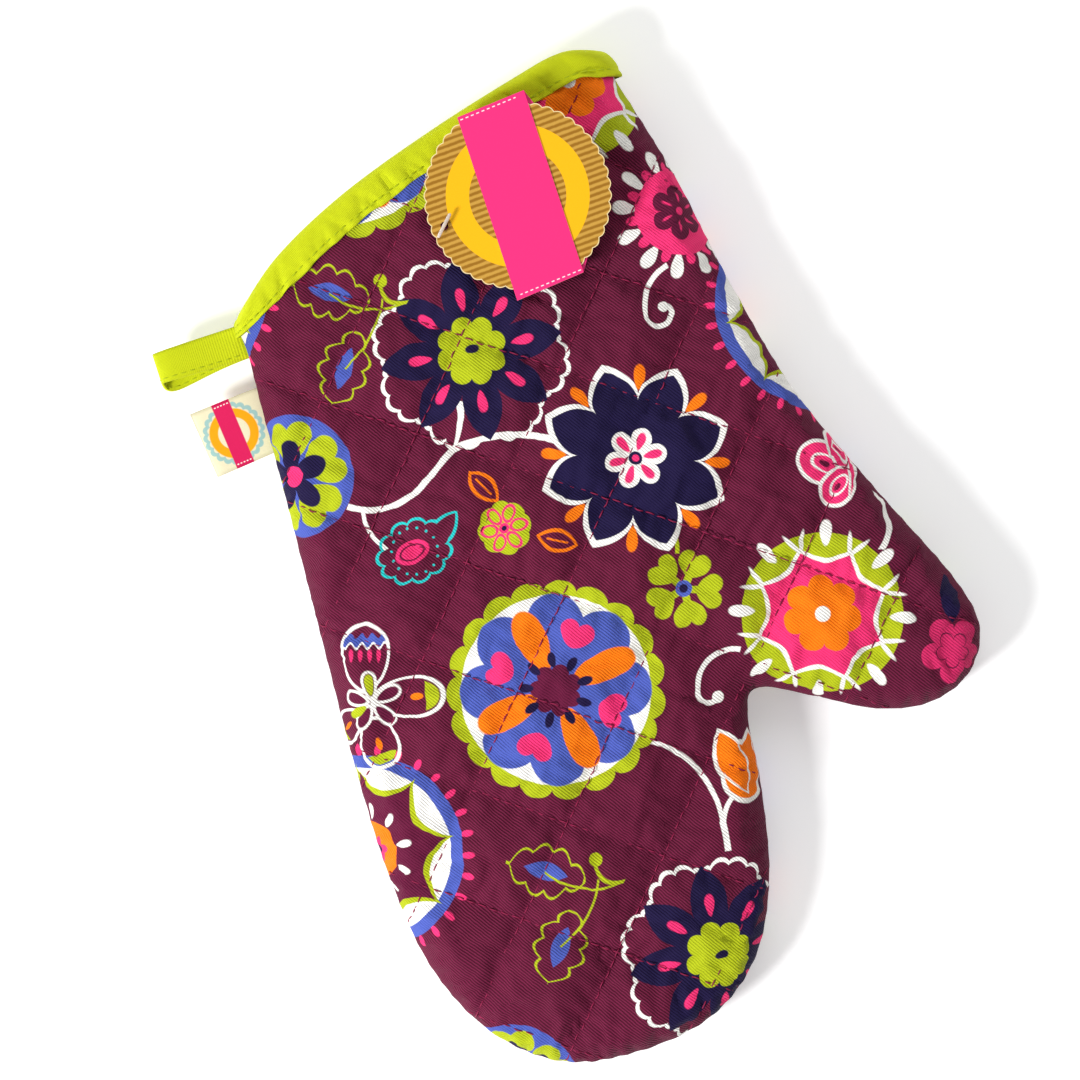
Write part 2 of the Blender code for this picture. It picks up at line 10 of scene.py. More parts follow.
import bmesh
import bpy
import numpy as np
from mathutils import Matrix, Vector
from mathutils.geometry import delaunay_2d_cdt


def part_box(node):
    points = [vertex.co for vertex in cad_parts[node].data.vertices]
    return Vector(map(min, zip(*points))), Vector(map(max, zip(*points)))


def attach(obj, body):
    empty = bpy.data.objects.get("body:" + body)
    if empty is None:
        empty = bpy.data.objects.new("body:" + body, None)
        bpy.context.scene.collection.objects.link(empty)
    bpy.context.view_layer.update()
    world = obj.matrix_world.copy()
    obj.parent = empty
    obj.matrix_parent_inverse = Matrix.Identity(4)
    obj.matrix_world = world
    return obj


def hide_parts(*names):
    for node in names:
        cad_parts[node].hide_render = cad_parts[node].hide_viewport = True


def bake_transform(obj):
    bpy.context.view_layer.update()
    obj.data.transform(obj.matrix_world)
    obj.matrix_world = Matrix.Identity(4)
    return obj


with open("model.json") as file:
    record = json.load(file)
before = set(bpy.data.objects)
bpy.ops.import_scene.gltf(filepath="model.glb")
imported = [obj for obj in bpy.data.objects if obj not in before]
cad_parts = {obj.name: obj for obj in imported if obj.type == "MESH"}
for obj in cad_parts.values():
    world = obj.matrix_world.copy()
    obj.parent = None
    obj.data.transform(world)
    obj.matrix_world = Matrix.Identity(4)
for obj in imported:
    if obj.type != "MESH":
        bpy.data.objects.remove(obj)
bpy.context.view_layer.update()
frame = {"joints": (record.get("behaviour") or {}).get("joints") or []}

MM = 0.001
RNG = np.random.default_rng(7)

# Plan and section of the mitt, the same as the CAD's.
SIDE_POINTS = [
    (-107.5, 111), (-106.3, 80), (-104.2, 40), (-102, -12), (-99.6, -60), (-95.5, -102), (-87, -138),
    (-70, -166), (-45, -182.6), (-14, -184.3), (14, -176.5), (34, -158), (45, -130), (49, -96), (49.5, -70),
    (54.5, -61.5), (74, -69), (95, -78), (115, -80), (132, -72.5), (140.5, -56), (135, -35), (113, 4),
    (91, 46), (76, 90), (65, 130), (57, 153), (46.5, 181),
]
CUFF_POINTS = [(46.5, 181), (31, 182), (12, 176), (-22, 163), (-58, 147), (-86, 130), (-107.5, 111)]
SEAM_Z = 13.0
EDGE_ROUND = 16.0
TOP_RISE = 15.0
CROWN_RISE = 6.5
CROWN_REACH = 45.0
CUFF_BAND = 10.0
CUFF_FADE = 60.0
CUFF_DROP = 3.0
CUFF_LIFT = 3.2
HALF_GAP = 0.15
FABRIC = 0.54
LINING_TOP = 8.4
LINING_TOP_AT_CUFF = 5.0
LINING_THICK = 0.6
WADDING_FADE = 15.0
WADDING_TOP = 3.1
LAYER_GAP = 0.3

# Quilting lines.
QUILT_ORIGIN = np.array([-82.4, 77.0])
QUILT_ALONG = np.array([32.1, -19.1])
QUILT_ACROSS = np.array([23.8, 31.5])
QUILT_LINES = range(-8, 10)
VALLEY = 2.5
VALLEY_WIDTH = 4.6
VALLEY_SIDE = 0.25

# Mesh steps of the outer cotton and of the layers under it, and the rings of points round the rounded edge.
FINE = 2.3
COARSE = 5.0
RING_ANGLES = range(10, 91, 10)
RING_SLACK = 0.02
CUFF_CLEAR = 0.8

# Length of a stitch and the gap after it: quilting, binding, loop and side seam.
STITCH = 3.4
STITCH_GAP = 0.9
TAPE_STITCH_LONG = 2.6
LOOP_STITCH_LONG = 2.4
SEAM_STITCH_LONG = 2.6
SEAM_STITCH_GAP = 0.7
SEAM_STITCH_IN = 2.2


def clamp01(values):
    """The values held between 0 and 1."""
    return np.clip(values, 0.0, 1.0)


def smooth(low, high, values):
    """A smooth step from 0 at low to 1 at high."""
    t = clamp01((values - low) / (high - low))
    return t * t * (3 - 2 * t)


def smooth_line(points, step):
    """The smooth open line through the points, with even steps between them."""
    knots = np.array(points, float)
    ends = np.vstack([2 * knots[0] - knots[1], knots, 2 * knots[-1] - knots[-2]])
    line = []
    for i in range(len(knots) - 1):
        p0, p1, p2, p3 = ends[i : i + 4]
        parts = max(1, round(float(np.linalg.norm(p2 - p1)) / step))
        t = (np.arange(parts) / parts)[:, None]
        bend = (2 * p0 - 5 * p1 + 4 * p2 - p3) * t**2 + (3 * p1 - p0 - 3 * p2 + p3) * t**3
        line.append(0.5 * (2 * p1 + (p2 - p0) * t + bend))
    return np.vstack(line + [knots[-1:]])


SIDE = smooth_line(SIDE_POINTS, 1.5)
CUFF = smooth_line(CUFF_POINTS, 1.5)
OUTLINE = np.vstack([SIDE, CUFF[1:-1]])


def nearest(line, points):
    """For each point: distance to the line, the nearest place on it, and how far along the line that is."""
    points = np.asarray(points, float).reshape(-1, 2)
    runs = np.diff(line, axis=0)
    lengths = np.linalg.norm(runs, axis=1)
    starts = np.concatenate([[0], np.cumsum(lengths)[:-1]])
    distance, place, along = np.empty(len(points)), np.empty((len(points), 2)), np.empty(len(points))
    for first in range(0, len(points), 1000):
        some = points[first : first + 1000]
        rel = some[:, None, :] - line[None, :-1, :]
        share = clamp01((rel * runs).sum(2) / lengths**2)
        gap = np.linalg.norm(rel - share[..., None] * runs, axis=2)
        best = gap.argmin(1)
        rows = np.arange(len(some))
        part = share[rows, best]
        here = slice(first, first + len(some))
        distance[here] = gap[rows, best]
        place[here] = line[best] + runs[best] * part[:, None]
        along[here] = starts[best] + part * lengths[best]
    return distance, place, along


def left_normals(line):
    """The way to the left of a line at each of its points."""
    turn = np.gradient(line, axis=0)
    turn /= np.linalg.norm(turn, axis=1)[:, None]
    return np.column_stack([-turn[:, 1], turn[:, 0]])


SIDE_NORMALS = left_normals(SIDE)


def inside(points, outline=OUTLINE):
    """Which points are within the closed outline."""
    points = np.asarray(points, float).reshape(-1, 2)
    a, b = outline, np.roll(outline, -1, axis=0)
    found = np.zeros(len(points), bool)
    for p, q in zip(a, b):
        if p[1] == q[1]:
            continue
        crosses = (p[1] > points[:, 1]) != (q[1] > points[:, 1])
        found ^= crosses & (points[:, 0] < p[0] + (points[:, 1] - p[1]) * (q[0] - p[0]) / (q[1] - p[1]))
    return found


def quilting_lines():
    """Start and run of every stitched line, one of each family in turn."""
    for n in QUILT_LINES:
        yield QUILT_ORIGIN + QUILT_ACROSS * n, QUILT_ALONG
        yield QUILT_ORIGIN + QUILT_ALONG * n, QUILT_ACROSS


def quilt_cells(points):
    """Points in quilting cells: whole numbers are on a stitched line."""
    rel = points - QUILT_ORIGIN
    det = QUILT_ALONG[0] * QUILT_ACROSS[1] - QUILT_ALONG[1] * QUILT_ACROSS[0]
    i = (rel[:, 0] * QUILT_ACROSS[1] - rel[:, 1] * QUILT_ACROSS[0]) / det
    j = (QUILT_ALONG[0] * rel[:, 1] - QUILT_ALONG[1] * rel[:, 0]) / det
    return i, j


def quilt_offsets(points):
    """Distances from the nearest stitched line of each family, and how far along that line."""
    i, j = quilt_cells(points)
    long_i, long_j = np.linalg.norm(QUILT_ALONG), np.linalg.norm(QUILT_ACROSS)
    return abs(i - np.round(i)) * long_i, abs(j - np.round(j)) * long_j, j * long_j, i * long_i


WAVE_COUNT = 9


def waves(seed, points, size):
    """Smooth noise from about -1 to 1 over the plan, with features of about the given size."""
    rng = np.random.default_rng(seed)
    total = np.zeros(len(points))
    for _ in range(WAVE_COUNT):
        turn, phase = rng.uniform(0, 2 * math.pi, 2)
        length = size * rng.uniform(0.7, 1.8)
        along = points @ np.array([math.cos(turn), math.sin(turn)])
        total += np.sin(2 * math.pi * along / length + phase)
    return total / (WAVE_COUNT / 2)


def quilt_dip(points, from_side, from_cuff, depth=VALLEY):
    """How far the stitched lines pull the surface in."""
    off_i, off_j, _, _ = quilt_offsets(points)
    fade = (VALLEY_SIDE + (1 - VALLEY_SIDE) * smooth(3, 16, from_side)) * smooth(8, 16, from_cuff)
    valley = np.exp(-np.minimum(off_i, off_j) / VALLEY_WIDTH)
    return depth * fade * valley


# Points nearer the side line than this have no sure way inward of their own.
ON_SIDE = 0.4
GROOVE_REACH = 0.9


def section(points, face, depth, dip=0.0, groove=0.0):
    """Where plan points are in space at a depth under the outer surface, and the way the surface faces there.

    face is 1 for the front panel and -1 for the back. groove draws the fabric in along the side seam.
    """
    points = np.asarray(points, float).reshape(-1, 2)
    from_side, place, along = nearest(SIDE, points)
    from_cuff = nearest(CUFF, points)[0]
    inward = np.empty_like(points)
    clear = from_side > ON_SIDE
    inward[clear] = (points[clear] - place[clear]) / from_side[clear, None]
    close = np.searchsorted(side_lengths(), along[~clear]).clip(0, len(SIDE) - 1)
    inward[~clear] = SIDE_NORMALS[close]
    cos_edge = np.maximum(0.0, 1 - from_side / EDGE_ROUND)
    sin_edge = np.sqrt(1 - cos_edge**2)
    near_cuff = clamp01((CUFF_BAND + CUFF_FADE - from_cuff) / CUFF_FADE)
    if face > 0:
        crown = CROWN_RISE * (1 - np.exp(-np.maximum(0.0, from_side - EDGE_ROUND) / CROWN_REACH))
        rise = TOP_RISE + crown - CUFF_DROP * near_cuff
    else:
        rise = SEAM_Z - CUFF_LIFT * near_cuff
    z = SEAM_Z + face * (HALF_GAP + sin_edge * (rise - HALF_GAP - depth - dip))
    drawn = groove * np.exp(-from_side / GROOVE_REACH) * smooth(2, 12, from_cuff)
    plan = points + inward * (np.asarray(depth) * cos_edge + drawn)[:, None]
    normals = np.column_stack([-inward * cos_edge[:, None], face * sin_edge])
    return np.column_stack([plan, z]) * MM, normals


def side_lengths():
    """How far along the side line each of its points is."""
    runs = np.linalg.norm(np.diff(SIDE, axis=0), axis=1)
    return np.concatenate([[0], np.cumsum(runs)])


def add_object(name, data):
    """A new object in the scene."""
    made = bpy.data.objects.new(name, data)
    bpy.context.scene.collection.objects.link(made)
    return made


def add_mesh(name, vertices, faces):
    """A new object with this smooth-shaded mesh."""
    mesh = bpy.data.meshes.new(name)
    mesh.from_pydata([tuple(v) for v in vertices], [], [tuple(int(i) for i in f) for f in faces])
    mesh.validate()
    mesh.polygons.foreach_set("use_smooth", [True] * len(mesh.polygons))
    return add_object(name, mesh)


def coordinates(obj):
    """The mesh's points, one a row."""
    flat = np.zeros(len(obj.data.vertices) * 3)
    obj.data.vertices.foreach_get("co", flat)
    return flat.reshape(-1, 3)


def store(obj, name, values):
    """Keeps a vector at each vertex, for the shader to read."""
    values = np.column_stack([values, np.zeros((len(values), 3 - values.shape[1]))])
    attribute = obj.data.attributes.new(name, "FLOAT_VECTOR", "POINT")
    attribute.data.foreach_set("vector", values.astype(np.float32).ravel())


def apply_modifiers(obj):
    """Replaces the mesh with what its modifiers make of it."""
    shape = obj.evaluated_get(bpy.context.evaluated_depsgraph_get())
    mesh = bpy.data.meshes.new_from_object(shape, preserve_all_data_layers=True,
                                           depsgraph=bpy.context.evaluated_depsgraph_get())
    obj.modifiers.clear()
    obj.data = mesh


def ring_points(every):
    """Plan points in rings round the rounded edge."""
    rings = []
    for angle in RING_ANGLES:
        offset = EDGE_ROUND * (1 - math.cos(math.radians(angle)))
        ring = (SIDE + SIDE_NORMALS * offset)[::every]
        true = nearest(SIDE, ring)[0] > offset - RING_SLACK
        clear = nearest(CUFF, ring)[0] > CUFF_CLEAR
        rings.append(ring[true & clear & inside(ring)])
    return rings


def stitched_points(step):
    """Plan points along every stitched line."""
    points = []
    for start, run in quilting_lines():
        count = int(np.linalg.norm(run) * len(QUILT_LINES) / step)
        share = np.linspace(QUILT_LINES[0], QUILT_LINES[-1], count)
        line = start + share[:, None] * run
        line = line[inside(line)]
        keep = (nearest(SIDE, line)[0] > EDGE_ROUND + 0.5) & (nearest(CUFF, line)[0] > 1)
        points.append(line[keep])
    return points


def spread_points(step, quilted):
    """Plan points in an even net of triangles, clear of the rings and of the stitched lines."""
    low, high = OUTLINE.min(0), OUTLINE.max(0)
    xs = np.arange(low[0], high[0], step)
    ys = np.arange(low[1], high[1], step * math.sqrt(3) / 2)
    grid = np.array([(x + (row % 2) * step / 2, y) for row, y in enumerate(ys) for x in xs])
    grid = grid[inside(grid)]
    keep = (nearest(SIDE, grid)[0] > EDGE_ROUND + step / 2) & (nearest(CUFF, grid)[0] > step / 2)
    grid = grid[keep]
    if quilted:
        off_i, off_j, _, _ = quilt_offsets(grid)
        grid = grid[np.minimum(off_i, off_j) > step * 0.45]
    return grid


def plan_triangles(step, quilted):
    """The outline filled with triangles: rings at the edge, the stitched lines, and an even net between."""
    rings = ring_points(1 if quilted else 3)
    stitched = stitched_points(step) if quilted else []
    everything = np.vstack([OUTLINE, *rings, *stitched, spread_points(step, quilted)])
    edges = [(i, (i + 1) % len(OUTLINE)) for i in range(len(OUTLINE))]
    places, _, faces, _, _, _ = delaunay_2d_cdt([Vector(p) for p in everything], edges, [], 1, 1e-4)
    return np.array([tuple(p) for p in places]), [f for f in faces if len(f) == 3]


# How far the print on the back panel is shifted from the front's.
BACK_PRINT_SHIFT = np.array([34.0, 70.0])


def flat_place(points, face):
    """Where each plan point was on the flat cloth, of which the rounded edge takes more than the plan."""
    from_side, place, _ = nearest(SIDE, points)
    turn = np.arccos(np.maximum(0.0, 1 - from_side / EDGE_ROUND).clip(0, 1))
    extra = EDGE_ROUND * (math.pi / 2 - turn) - np.maximum(0.0, EDGE_ROUND - from_side)
    away = (place - points) / np.maximum(from_side, ON_SIDE)[:, None]
    outward = np.where(from_side[:, None] > ON_SIDE, away, 0)
    flat = points + outward * extra[:, None]
    if face < 0:
        flat = flat * (-1, 1) + BACK_PRINT_SHIFT
    return flat


CLOTH_FRAMES = 16
CLOTH_SETTINGS = {
    "quality": 6, "mass": 0.25, "pin_stiffness": 50, "tension_stiffness": 25, "compression_stiffness": 25,
    "shear_stiffness": 10, "bending_stiffness": 0.6, "shrink_min": -0.05, "use_pressure": True,
    "uniform_pressure_force": 4.5,
}
SWELL_MOST = 3.4
SINK_MOST = 0.3


def puff(obj, pinned, normals):
    """Lets the cloth swell between its held points, then limits how far it moved."""
    before = coordinates(obj)
    group = obj.vertex_groups.new(name="held")
    group.add([int(i) for i in np.nonzero(pinned)[0]], 1.0, "REPLACE")
    cloth = obj.modifiers.new("cloth", "CLOTH")
    cloth.settings.vertex_group_mass = group.name
    for key, value in CLOTH_SETTINGS.items():
        setattr(cloth.settings, key, value)
    cloth.settings.effector_weights.gravity = 0
    cloth.point_cache.frame_start = 1
    cloth.point_cache.frame_end = CLOTH_FRAMES
    scene = bpy.context.scene
    for number in range(1, CLOTH_FRAMES + 1):
        scene.frame_set(number)
    apply_modifiers(obj)
    scene.frame_set(1)
    moved = coordinates(obj) - before
    length = np.linalg.norm(moved, axis=1)
    moved *= np.minimum(1, SWELL_MOST * MM / np.maximum(length, 1e-9))[:, None]
    inward = np.minimum(0, (moved * normals).sum(1) + SINK_MOST * MM)
    moved -= normals * inward[:, None]
    after = before + moved
    obj.data.vertices.foreach_set("co", after.ravel())
    obj.data.update()


# Gathers beside the stitched lines, the cotton's broad and small unevenness, and gathers at the side seam.
GATHER_DEPTH = 0.42
GATHER_PITCH = 7.5
GATHER_REACH = 6.0
BROAD_DEPTH = 0.9
SMALL_DEPTH = 0.3
SEAM_GROOVE = 1.3
SEAM_GATHER = 0.5
SEAM_PITCH = 8.5
FLOOR_GAP = 0.05


def pitched(along, pitch, wander):
    """A wave of this pitch along a line, with its phase led astray."""
    return np.sin(along * 2 * math.pi / pitch + wander)


def panel_dip(points, face, from_side, from_cuff):
    """How far the cotton lies under a plain surface, and how far each point is from a stitched line."""
    off_i, off_j, along_i, along_j = quilt_offsets(points)
    off = np.minimum(off_i, off_j)
    line_along = np.where(off_i < off_j, along_i, along_j)
    gather = pitched(line_along, GATHER_PITCH, 3 * waves(3, points, 26))
    gather = gather * np.exp(-off / GATHER_REACH) * smooth(0, 2.5, off)
    broad = waves(11 if face > 0 else 12, points, 60) * smooth(4, 30, from_side) * smooth(8, 30, from_cuff)
    small = waves(13, points, 19) * smooth(3, 14, from_side) * smooth(8, 20, from_cuff)
    dip = quilt_dip(points, from_side, from_cuff) + GATHER_DEPTH * gather * smooth(5, 16, from_side)
    dip = dip - BROAD_DEPTH * broad - SMALL_DEPTH * small
    return (dip if face > 0 else np.maximum(dip, 0.0)), off


def panel(name, face, points, triangles):
    """One quilted panel: cotton held by its stitched lines and swollen between them."""
    from_side, _, along = nearest(SIDE, points)
    from_cuff = nearest(CUFF, points)[0]
    dip, off = panel_dip(points, face, from_side, from_cuff)
    places, normals = section(points, face, 0.0, dip, groove=SEAM_GROOVE)
    seam_wave = pitched(along, SEAM_PITCH, 2.5 * waves(5, points, 40)) * np.exp(-from_side / GATHER_REACH)
    seam_wave *= smooth(0.0, 2.0, from_side) * smooth(10, 20, from_cuff)
    places += normals * (SEAM_GATHER * seam_wave * MM)[:, None]
    made = add_mesh(name, places, triangles if face > 0 else [t[::-1] for t in triangles])
    puff(made, (off < 0.3) | (from_side < 1.0) | (from_cuff < CUFF_BAND - 1), normals)
    now = coordinates(made)
    now[:, 2] = np.maximum(now[:, 2], FLOOR_GAP * MM)
    made.data.vertices.foreach_set("co", now.ravel())
    return made


def close_layer(name, top, bottom, triangles, face):
    """A closed sheet between two matching surfaces, with a rim along the mitt's outline."""
    count, rim = len(top), len(OUTLINE)
    faces = [tuple(t) if face > 0 else tuple(t[::-1]) for t in triangles]
    under = [tuple(i + count for i in t[::-1]) for t in faces]
    edge = [(i, (i + 1) % rim) for i in range(rim)]
    sides = [(b, a, a + count, b + count) if face > 0 else (a, b, b + count, a + count) for a, b in edge]
    return add_mesh(name, np.vstack([top, bottom]), faces + under + sides)


def quilted_fabric(name, face, points, triangles):
    """The printed cotton of one panel, with its own thickness."""
    swollen = panel(name + "_swollen", face, points, triangles)
    mesh = swollen.data
    normals = np.array([v.vector for v in mesh.vertex_normals])
    top = coordinates(swollen)
    bpy.data.objects.remove(swollen)
    made = close_layer(name, top, top - normals * FABRIC * MM, triangles, face)
    flat = flat_place(points, face)
    store(made, "flat", np.vstack([flat, flat]))
    return made


def inner_layer(name, face, points, triangles, top_depth, bottom_depth, inner_dip):
    """A layer of wadding or lining, dented a little along the stitched lines."""
    from_side = nearest(SIDE, points)[0]
    from_cuff = nearest(CUFF, points)[0]
    dip = quilt_dip(points, from_side, from_cuff, depth=inner_dip)
    top = section(points, face, top_depth(from_cuff), dip)[0]
    bottom = section(points, face, bottom_depth(from_cuff), -0.2 * dip)[0]
    made = close_layer(name, top, bottom, triangles, face)
    store(made, "flat", np.vstack([points, points]))
    return made


def tubes(name, centres, ups, radii, sides=6, flatten=1.0):
    """Many short round strands in one mesh: centres and ups are strands x rings x 3, radii one per ring."""
    centres, ups = np.asarray(centres, float), np.asarray(ups, float)
    strands, rings = centres.shape[:2]
    along = np.gradient(centres, axis=1)
    across = np.cross(along, ups)
    across /= np.linalg.norm(across, axis=2)[..., None]
    up = np.cross(across, along)
    up /= np.linalg.norm(up, axis=2)[..., None]
    turn = np.arange(sides) / sides * 2 * math.pi
    ring = across[:, :, None] * np.cos(turn)[:, None] + up[:, :, None] * np.sin(turn)[:, None] * flatten
    verts = centres[:, :, None] + ring * np.asarray(radii)[None, :, None, None]
    near = np.arange(sides)
    quad = np.stack([near, (near + 1) % sides, (near + 1) % sides + sides, near + sides], axis=1)
    starts = (np.arange(strands)[:, None] * rings + np.arange(rings - 1)) * sides
    faces = (starts.reshape(-1, 1, 1) + quad).reshape(-1, 4).tolist()
    for s in range(strands):
        first, last = s * rings * sides, (s * rings + rings - 1) * sides
        faces.append([first + k for k in range(sides)][::-1])
        faces.append([last + k for k in range(sides)])
    return add_mesh(name, verts.reshape(-1, 3), faces)


def even_steps(line, step):
    """The line walked in even steps, with the length walked at each.

    The length is that of the first three columns; any others are only carried along.
    """
    runs = np.linalg.norm(np.diff(line[:, :3], axis=0), axis=1)
    length = np.concatenate([[0], np.cumsum(runs)])
    at = np.arange(0, length[-1], step)
    return np.column_stack([np.interp(at, length, line[:, k]) for k in range(line.shape[1])]), at


def stitch_spans(length, stitch=STITCH, gap=STITCH_GAP):
    """Start and end of each stitch along a length."""
    count = max(1, int(length / (stitch + gap)))
    starts = np.arange(count) * length / count
    return np.column_stack([starts, starts + length / count - gap])


STITCH_SHARE = np.array([0.0, 0.12, 0.35, 0.65, 0.88, 1.0])
STITCH_ARCH = np.array([-0.55, 0.0, 0.28, 0.28, 0.0, -0.55])
THREAD_RADII = np.array([0.16, 0.24, 0.28, 0.28, 0.24, 0.16])
THREAD_SIDES = 5
THREAD_LIFT = 0.06
SHORTEST_RUN = 12
RUN_SHARES = 0.01
WALK_STEP = 0.3
# How far a quilting stitch wanders sideways, as a whole and in its middle.
SWAY = 0.16
SWAY_MIDDLE = 0.22


def thread(name, centres, ups, size=1.0):
    """Every stitch of one seam as a short strand of thread."""
    return tubes(name, np.array(centres), np.array(ups), THREAD_RADII * size * MM, sides=THREAD_SIDES)


def stitches_along(line, ups, stitch, gap, height):
    """Centres and ups of the stitches along a line in space, each ring lifted by its height."""
    dense, at = even_steps(np.column_stack([line, ups]), WALK_STEP * MM)
    centres, turned = [], []
    for a, b in stitch_spans(at[-1] / MM, stitch, gap):
        share = (a + (b - a) * STITCH_SHARE) * MM
        here = np.column_stack([np.interp(share, at, dense[:, k]) for k in range(6)])
        centres.append(here[:, :3] + here[:, 3:] * height[:, None] * MM)
        turned.append(here[:, 3:])
    return centres, turned


def quilting_stitches(name, face):
    """Slack thread along every stitched line, one small arch for each stitch."""
    plans = []
    for start, run in quilting_lines():
        share = np.arange(QUILT_LINES[0], QUILT_LINES[-1], RUN_SHARES)
        line = start + share[:, None] * run
        clear = inside(line) & (nearest(SIDE, line)[0] > 1.6) & (nearest(CUFF, line)[0] > CUFF_BAND - 1)
        edges = np.flatnonzero(np.diff(np.concatenate([[0], clear.astype(int), [0]])))
        way = run / np.linalg.norm(run)
        beside = np.array([-way[1], way[0]])
        for first, last in edges.reshape(-1, 2):
            if last - first < SHORTEST_RUN:
                continue
            length = np.linalg.norm(line[last - 1] - line[first])
            for a, b in stitch_spans(length):
                at = a + (b - a) * STITCH_SHARE
                sway = RNG.normal(0, SWAY) + RNG.normal(0, SWAY_MIDDLE) * np.sin(STITCH_SHARE * math.pi)
                plans.append(line[first] + at[:, None] * way + sway[:, None] * beside)
    plan = np.vstack(plans)
    dip = quilt_dip(plan, nearest(SIDE, plan)[0], nearest(CUFF, plan)[0])
    height = np.tile(STITCH_ARCH, len(plans)) + THREAD_LIFT
    centres, ups = section(plan, face, -height, dip)
    shape = (len(plans), len(STITCH_SHARE), 3)
    return thread(name, centres.reshape(shape), ups.reshape(shape))


# Steps along the mouth's edge, and over what length the way into the mitt turns to follow the side seam.
MOUTH_STEP = 0.25
CORNER_ANGLES = range(0, 90, 9)
MIDDLE_EVERY = 4
CORNER_BLEND = (2, 34)
SEAM_RUN = 14


def mouth_stations():
    """The mouth's edge once across: plan places, the way into the mitt at each, and how far along each is."""
    fine = smooth_line(CUFF_POINTS, MOUTH_STEP)
    from_side = nearest(SIDE, fine)[0]
    half = len(fine) // 2
    corner = [EDGE_ROUND * (1 - math.cos(math.radians(a))) for a in CORNER_ANGLES]
    near = [int(np.abs(from_side[:half] - offset).argmin()) for offset in corner]
    far = [half + int(np.abs(from_side[half:] - offset).argmin()) for offset in corner][::-1]
    middle = list(range(near[-1] + MIDDLE_EVERY, far[0] - MIDDLE_EVERY + 1, MIDDLE_EVERY))
    picks = np.array(near + middle + far)
    places = fine[picks]
    run = places[-1] - places[0]
    straight = np.array([-run[1], run[0]]) / np.linalg.norm(run)
    first, last = SIDE[-SEAM_RUN] - SIDE[-1], SIDE[SEAM_RUN] - SIDE[0]
    first, last = first / np.linalg.norm(first), last / np.linalg.norm(last)
    along = np.concatenate([[0], np.cumsum(np.linalg.norm(np.diff(places, axis=0), axis=1))])
    near_first = 1 - smooth(*CORNER_BLEND, along)[:, None]
    near_last = 1 - smooth(*CORNER_BLEND, along[-1] - along)[:, None]
    inward = straight * (1 - near_first) * (1 - near_last) + first * near_first + last * near_last
    inward /= np.linalg.norm(inward, axis=1)[:, None]
    return places, inward, along


MOUTH, MOUTH_IN, MOUTH_ALONG = mouth_stations()
# The tape is tucked in and narrower where it meets the side seam above the loop.
TUCK_SHARE = 0.55
TUCK_REACH = 11.0
TUCK = 1 - TUCK_SHARE * np.exp((MOUTH_ALONG - MOUTH_ALONG[-1]) / TUCK_REACH)


def mouth_row(face, along, depth):
    """Points of the cuff wall: along is measured into the mitt, and past the edge where it is negative."""
    along = np.broadcast_to(np.asarray(along, float), len(MOUTH))
    depth = np.broadcast_to(np.asarray(depth, float), len(MOUTH))
    places, ups = section(MOUTH + MOUTH_IN * (np.maximum(0, along) * TUCK)[:, None], face, depth)
    beyond = np.column_stack([MOUTH_IN * np.maximum(0, -along)[:, None], np.zeros(len(MOUTH))]) * MM
    return places - beyond, ups


# The tape's thickness, the depths of its two legs, their length, its fold past the edge, and its stitches.
TAPE = 0.8
TAPE_NEAR = -0.9
TAPE_FAR = 6.5
TAPE_LEG = 9.3
TAPE_FOLD = 2.4
TAPE_STITCH = 6.8
TAPE_BULGES = [
    (TAPE_LEG, 0.0), (TAPE_LEG - 0.5, 0.25), (7.9, 0.3), (TAPE_STITCH, -0.1), (5.6, 0.3), (4, 0.45), (2, 0.4),
    (0.5, 0.2),
]
GATHER_LIFT = 0.95
CREASES = 34
CREASE_WIDTH = 1.3
CREASE_DEPTH = 1.1


def tape_section():
    """Outer and inner lines of the folded tape as (along, depth), from the outside leg to the inside one."""
    middle, half = (TAPE_NEAR + TAPE_FAR) / 2, (TAPE_FAR - TAPE_NEAR) / 2
    lines = []
    for grow in (TAPE, 0.0):
        leg = [(a, bulge if grow else bulge * 0.5) for a, bulge in TAPE_BULGES]
        near = [(a, TAPE_NEAR - grow - bulge) for a, bulge in leg]
        far = [(a, TAPE_FAR + grow + bulge) for a, bulge in leg][::-1]
        fold = []
        for angle in range(-75, 76, 25):
            turn = math.radians(angle)
            fold.append((-(TAPE_FOLD + grow) * math.cos(turn), middle + (half + grow) * math.sin(turn)))
        lines.append(near + fold + far)
    return lines


def creases(seed, across):
    """Short sharp creases over the tape, each up to 1 deep, leaning a little as they cross it."""
    rng = np.random.default_rng(seed)
    places = rng.uniform(0, MOUTH_ALONG[-1], CREASES)
    leans = rng.normal(0, 0.4, CREASES)
    depths = rng.uniform(0.3, 1.0, CREASES)
    off = MOUTH_ALONG[:, None] - places - leans * across
    return (depths * np.exp(-(off / CREASE_WIDTH) ** 2)).sum(1)


def tape_row(face, along, depth, on_outer):
    """The tape's points on one panel, at one place of its section: gathered, creased, uneven at its edge."""
    points = np.column_stack([MOUTH_ALONG, np.full(len(MOUTH), 40.0 * face + along * 0.7)])
    gather = 0.7 * waves(21, points, 9.0) + 0.3 * waves(23, points, 4.0)
    gather = gather - CREASE_DEPTH * creases(25 + face, along)
    edge = 0.55 * waves(22, points, 19.0) + 0.25 * waves(24, points, 6.0)
    near_leg = 1 if depth < (TAPE_NEAR + TAPE_FAR) / 2 else -1
    lift = GATHER_LIFT * gather * (0.45 + 0.55 * min(1.0, along / 7)) if on_outer and along > 0.4 else 0
    shift = edge if along > 7 else 0.35 * edge if along > 3 else 0
    return mouth_row(face, along + shift, depth - near_leg * lift)[0]


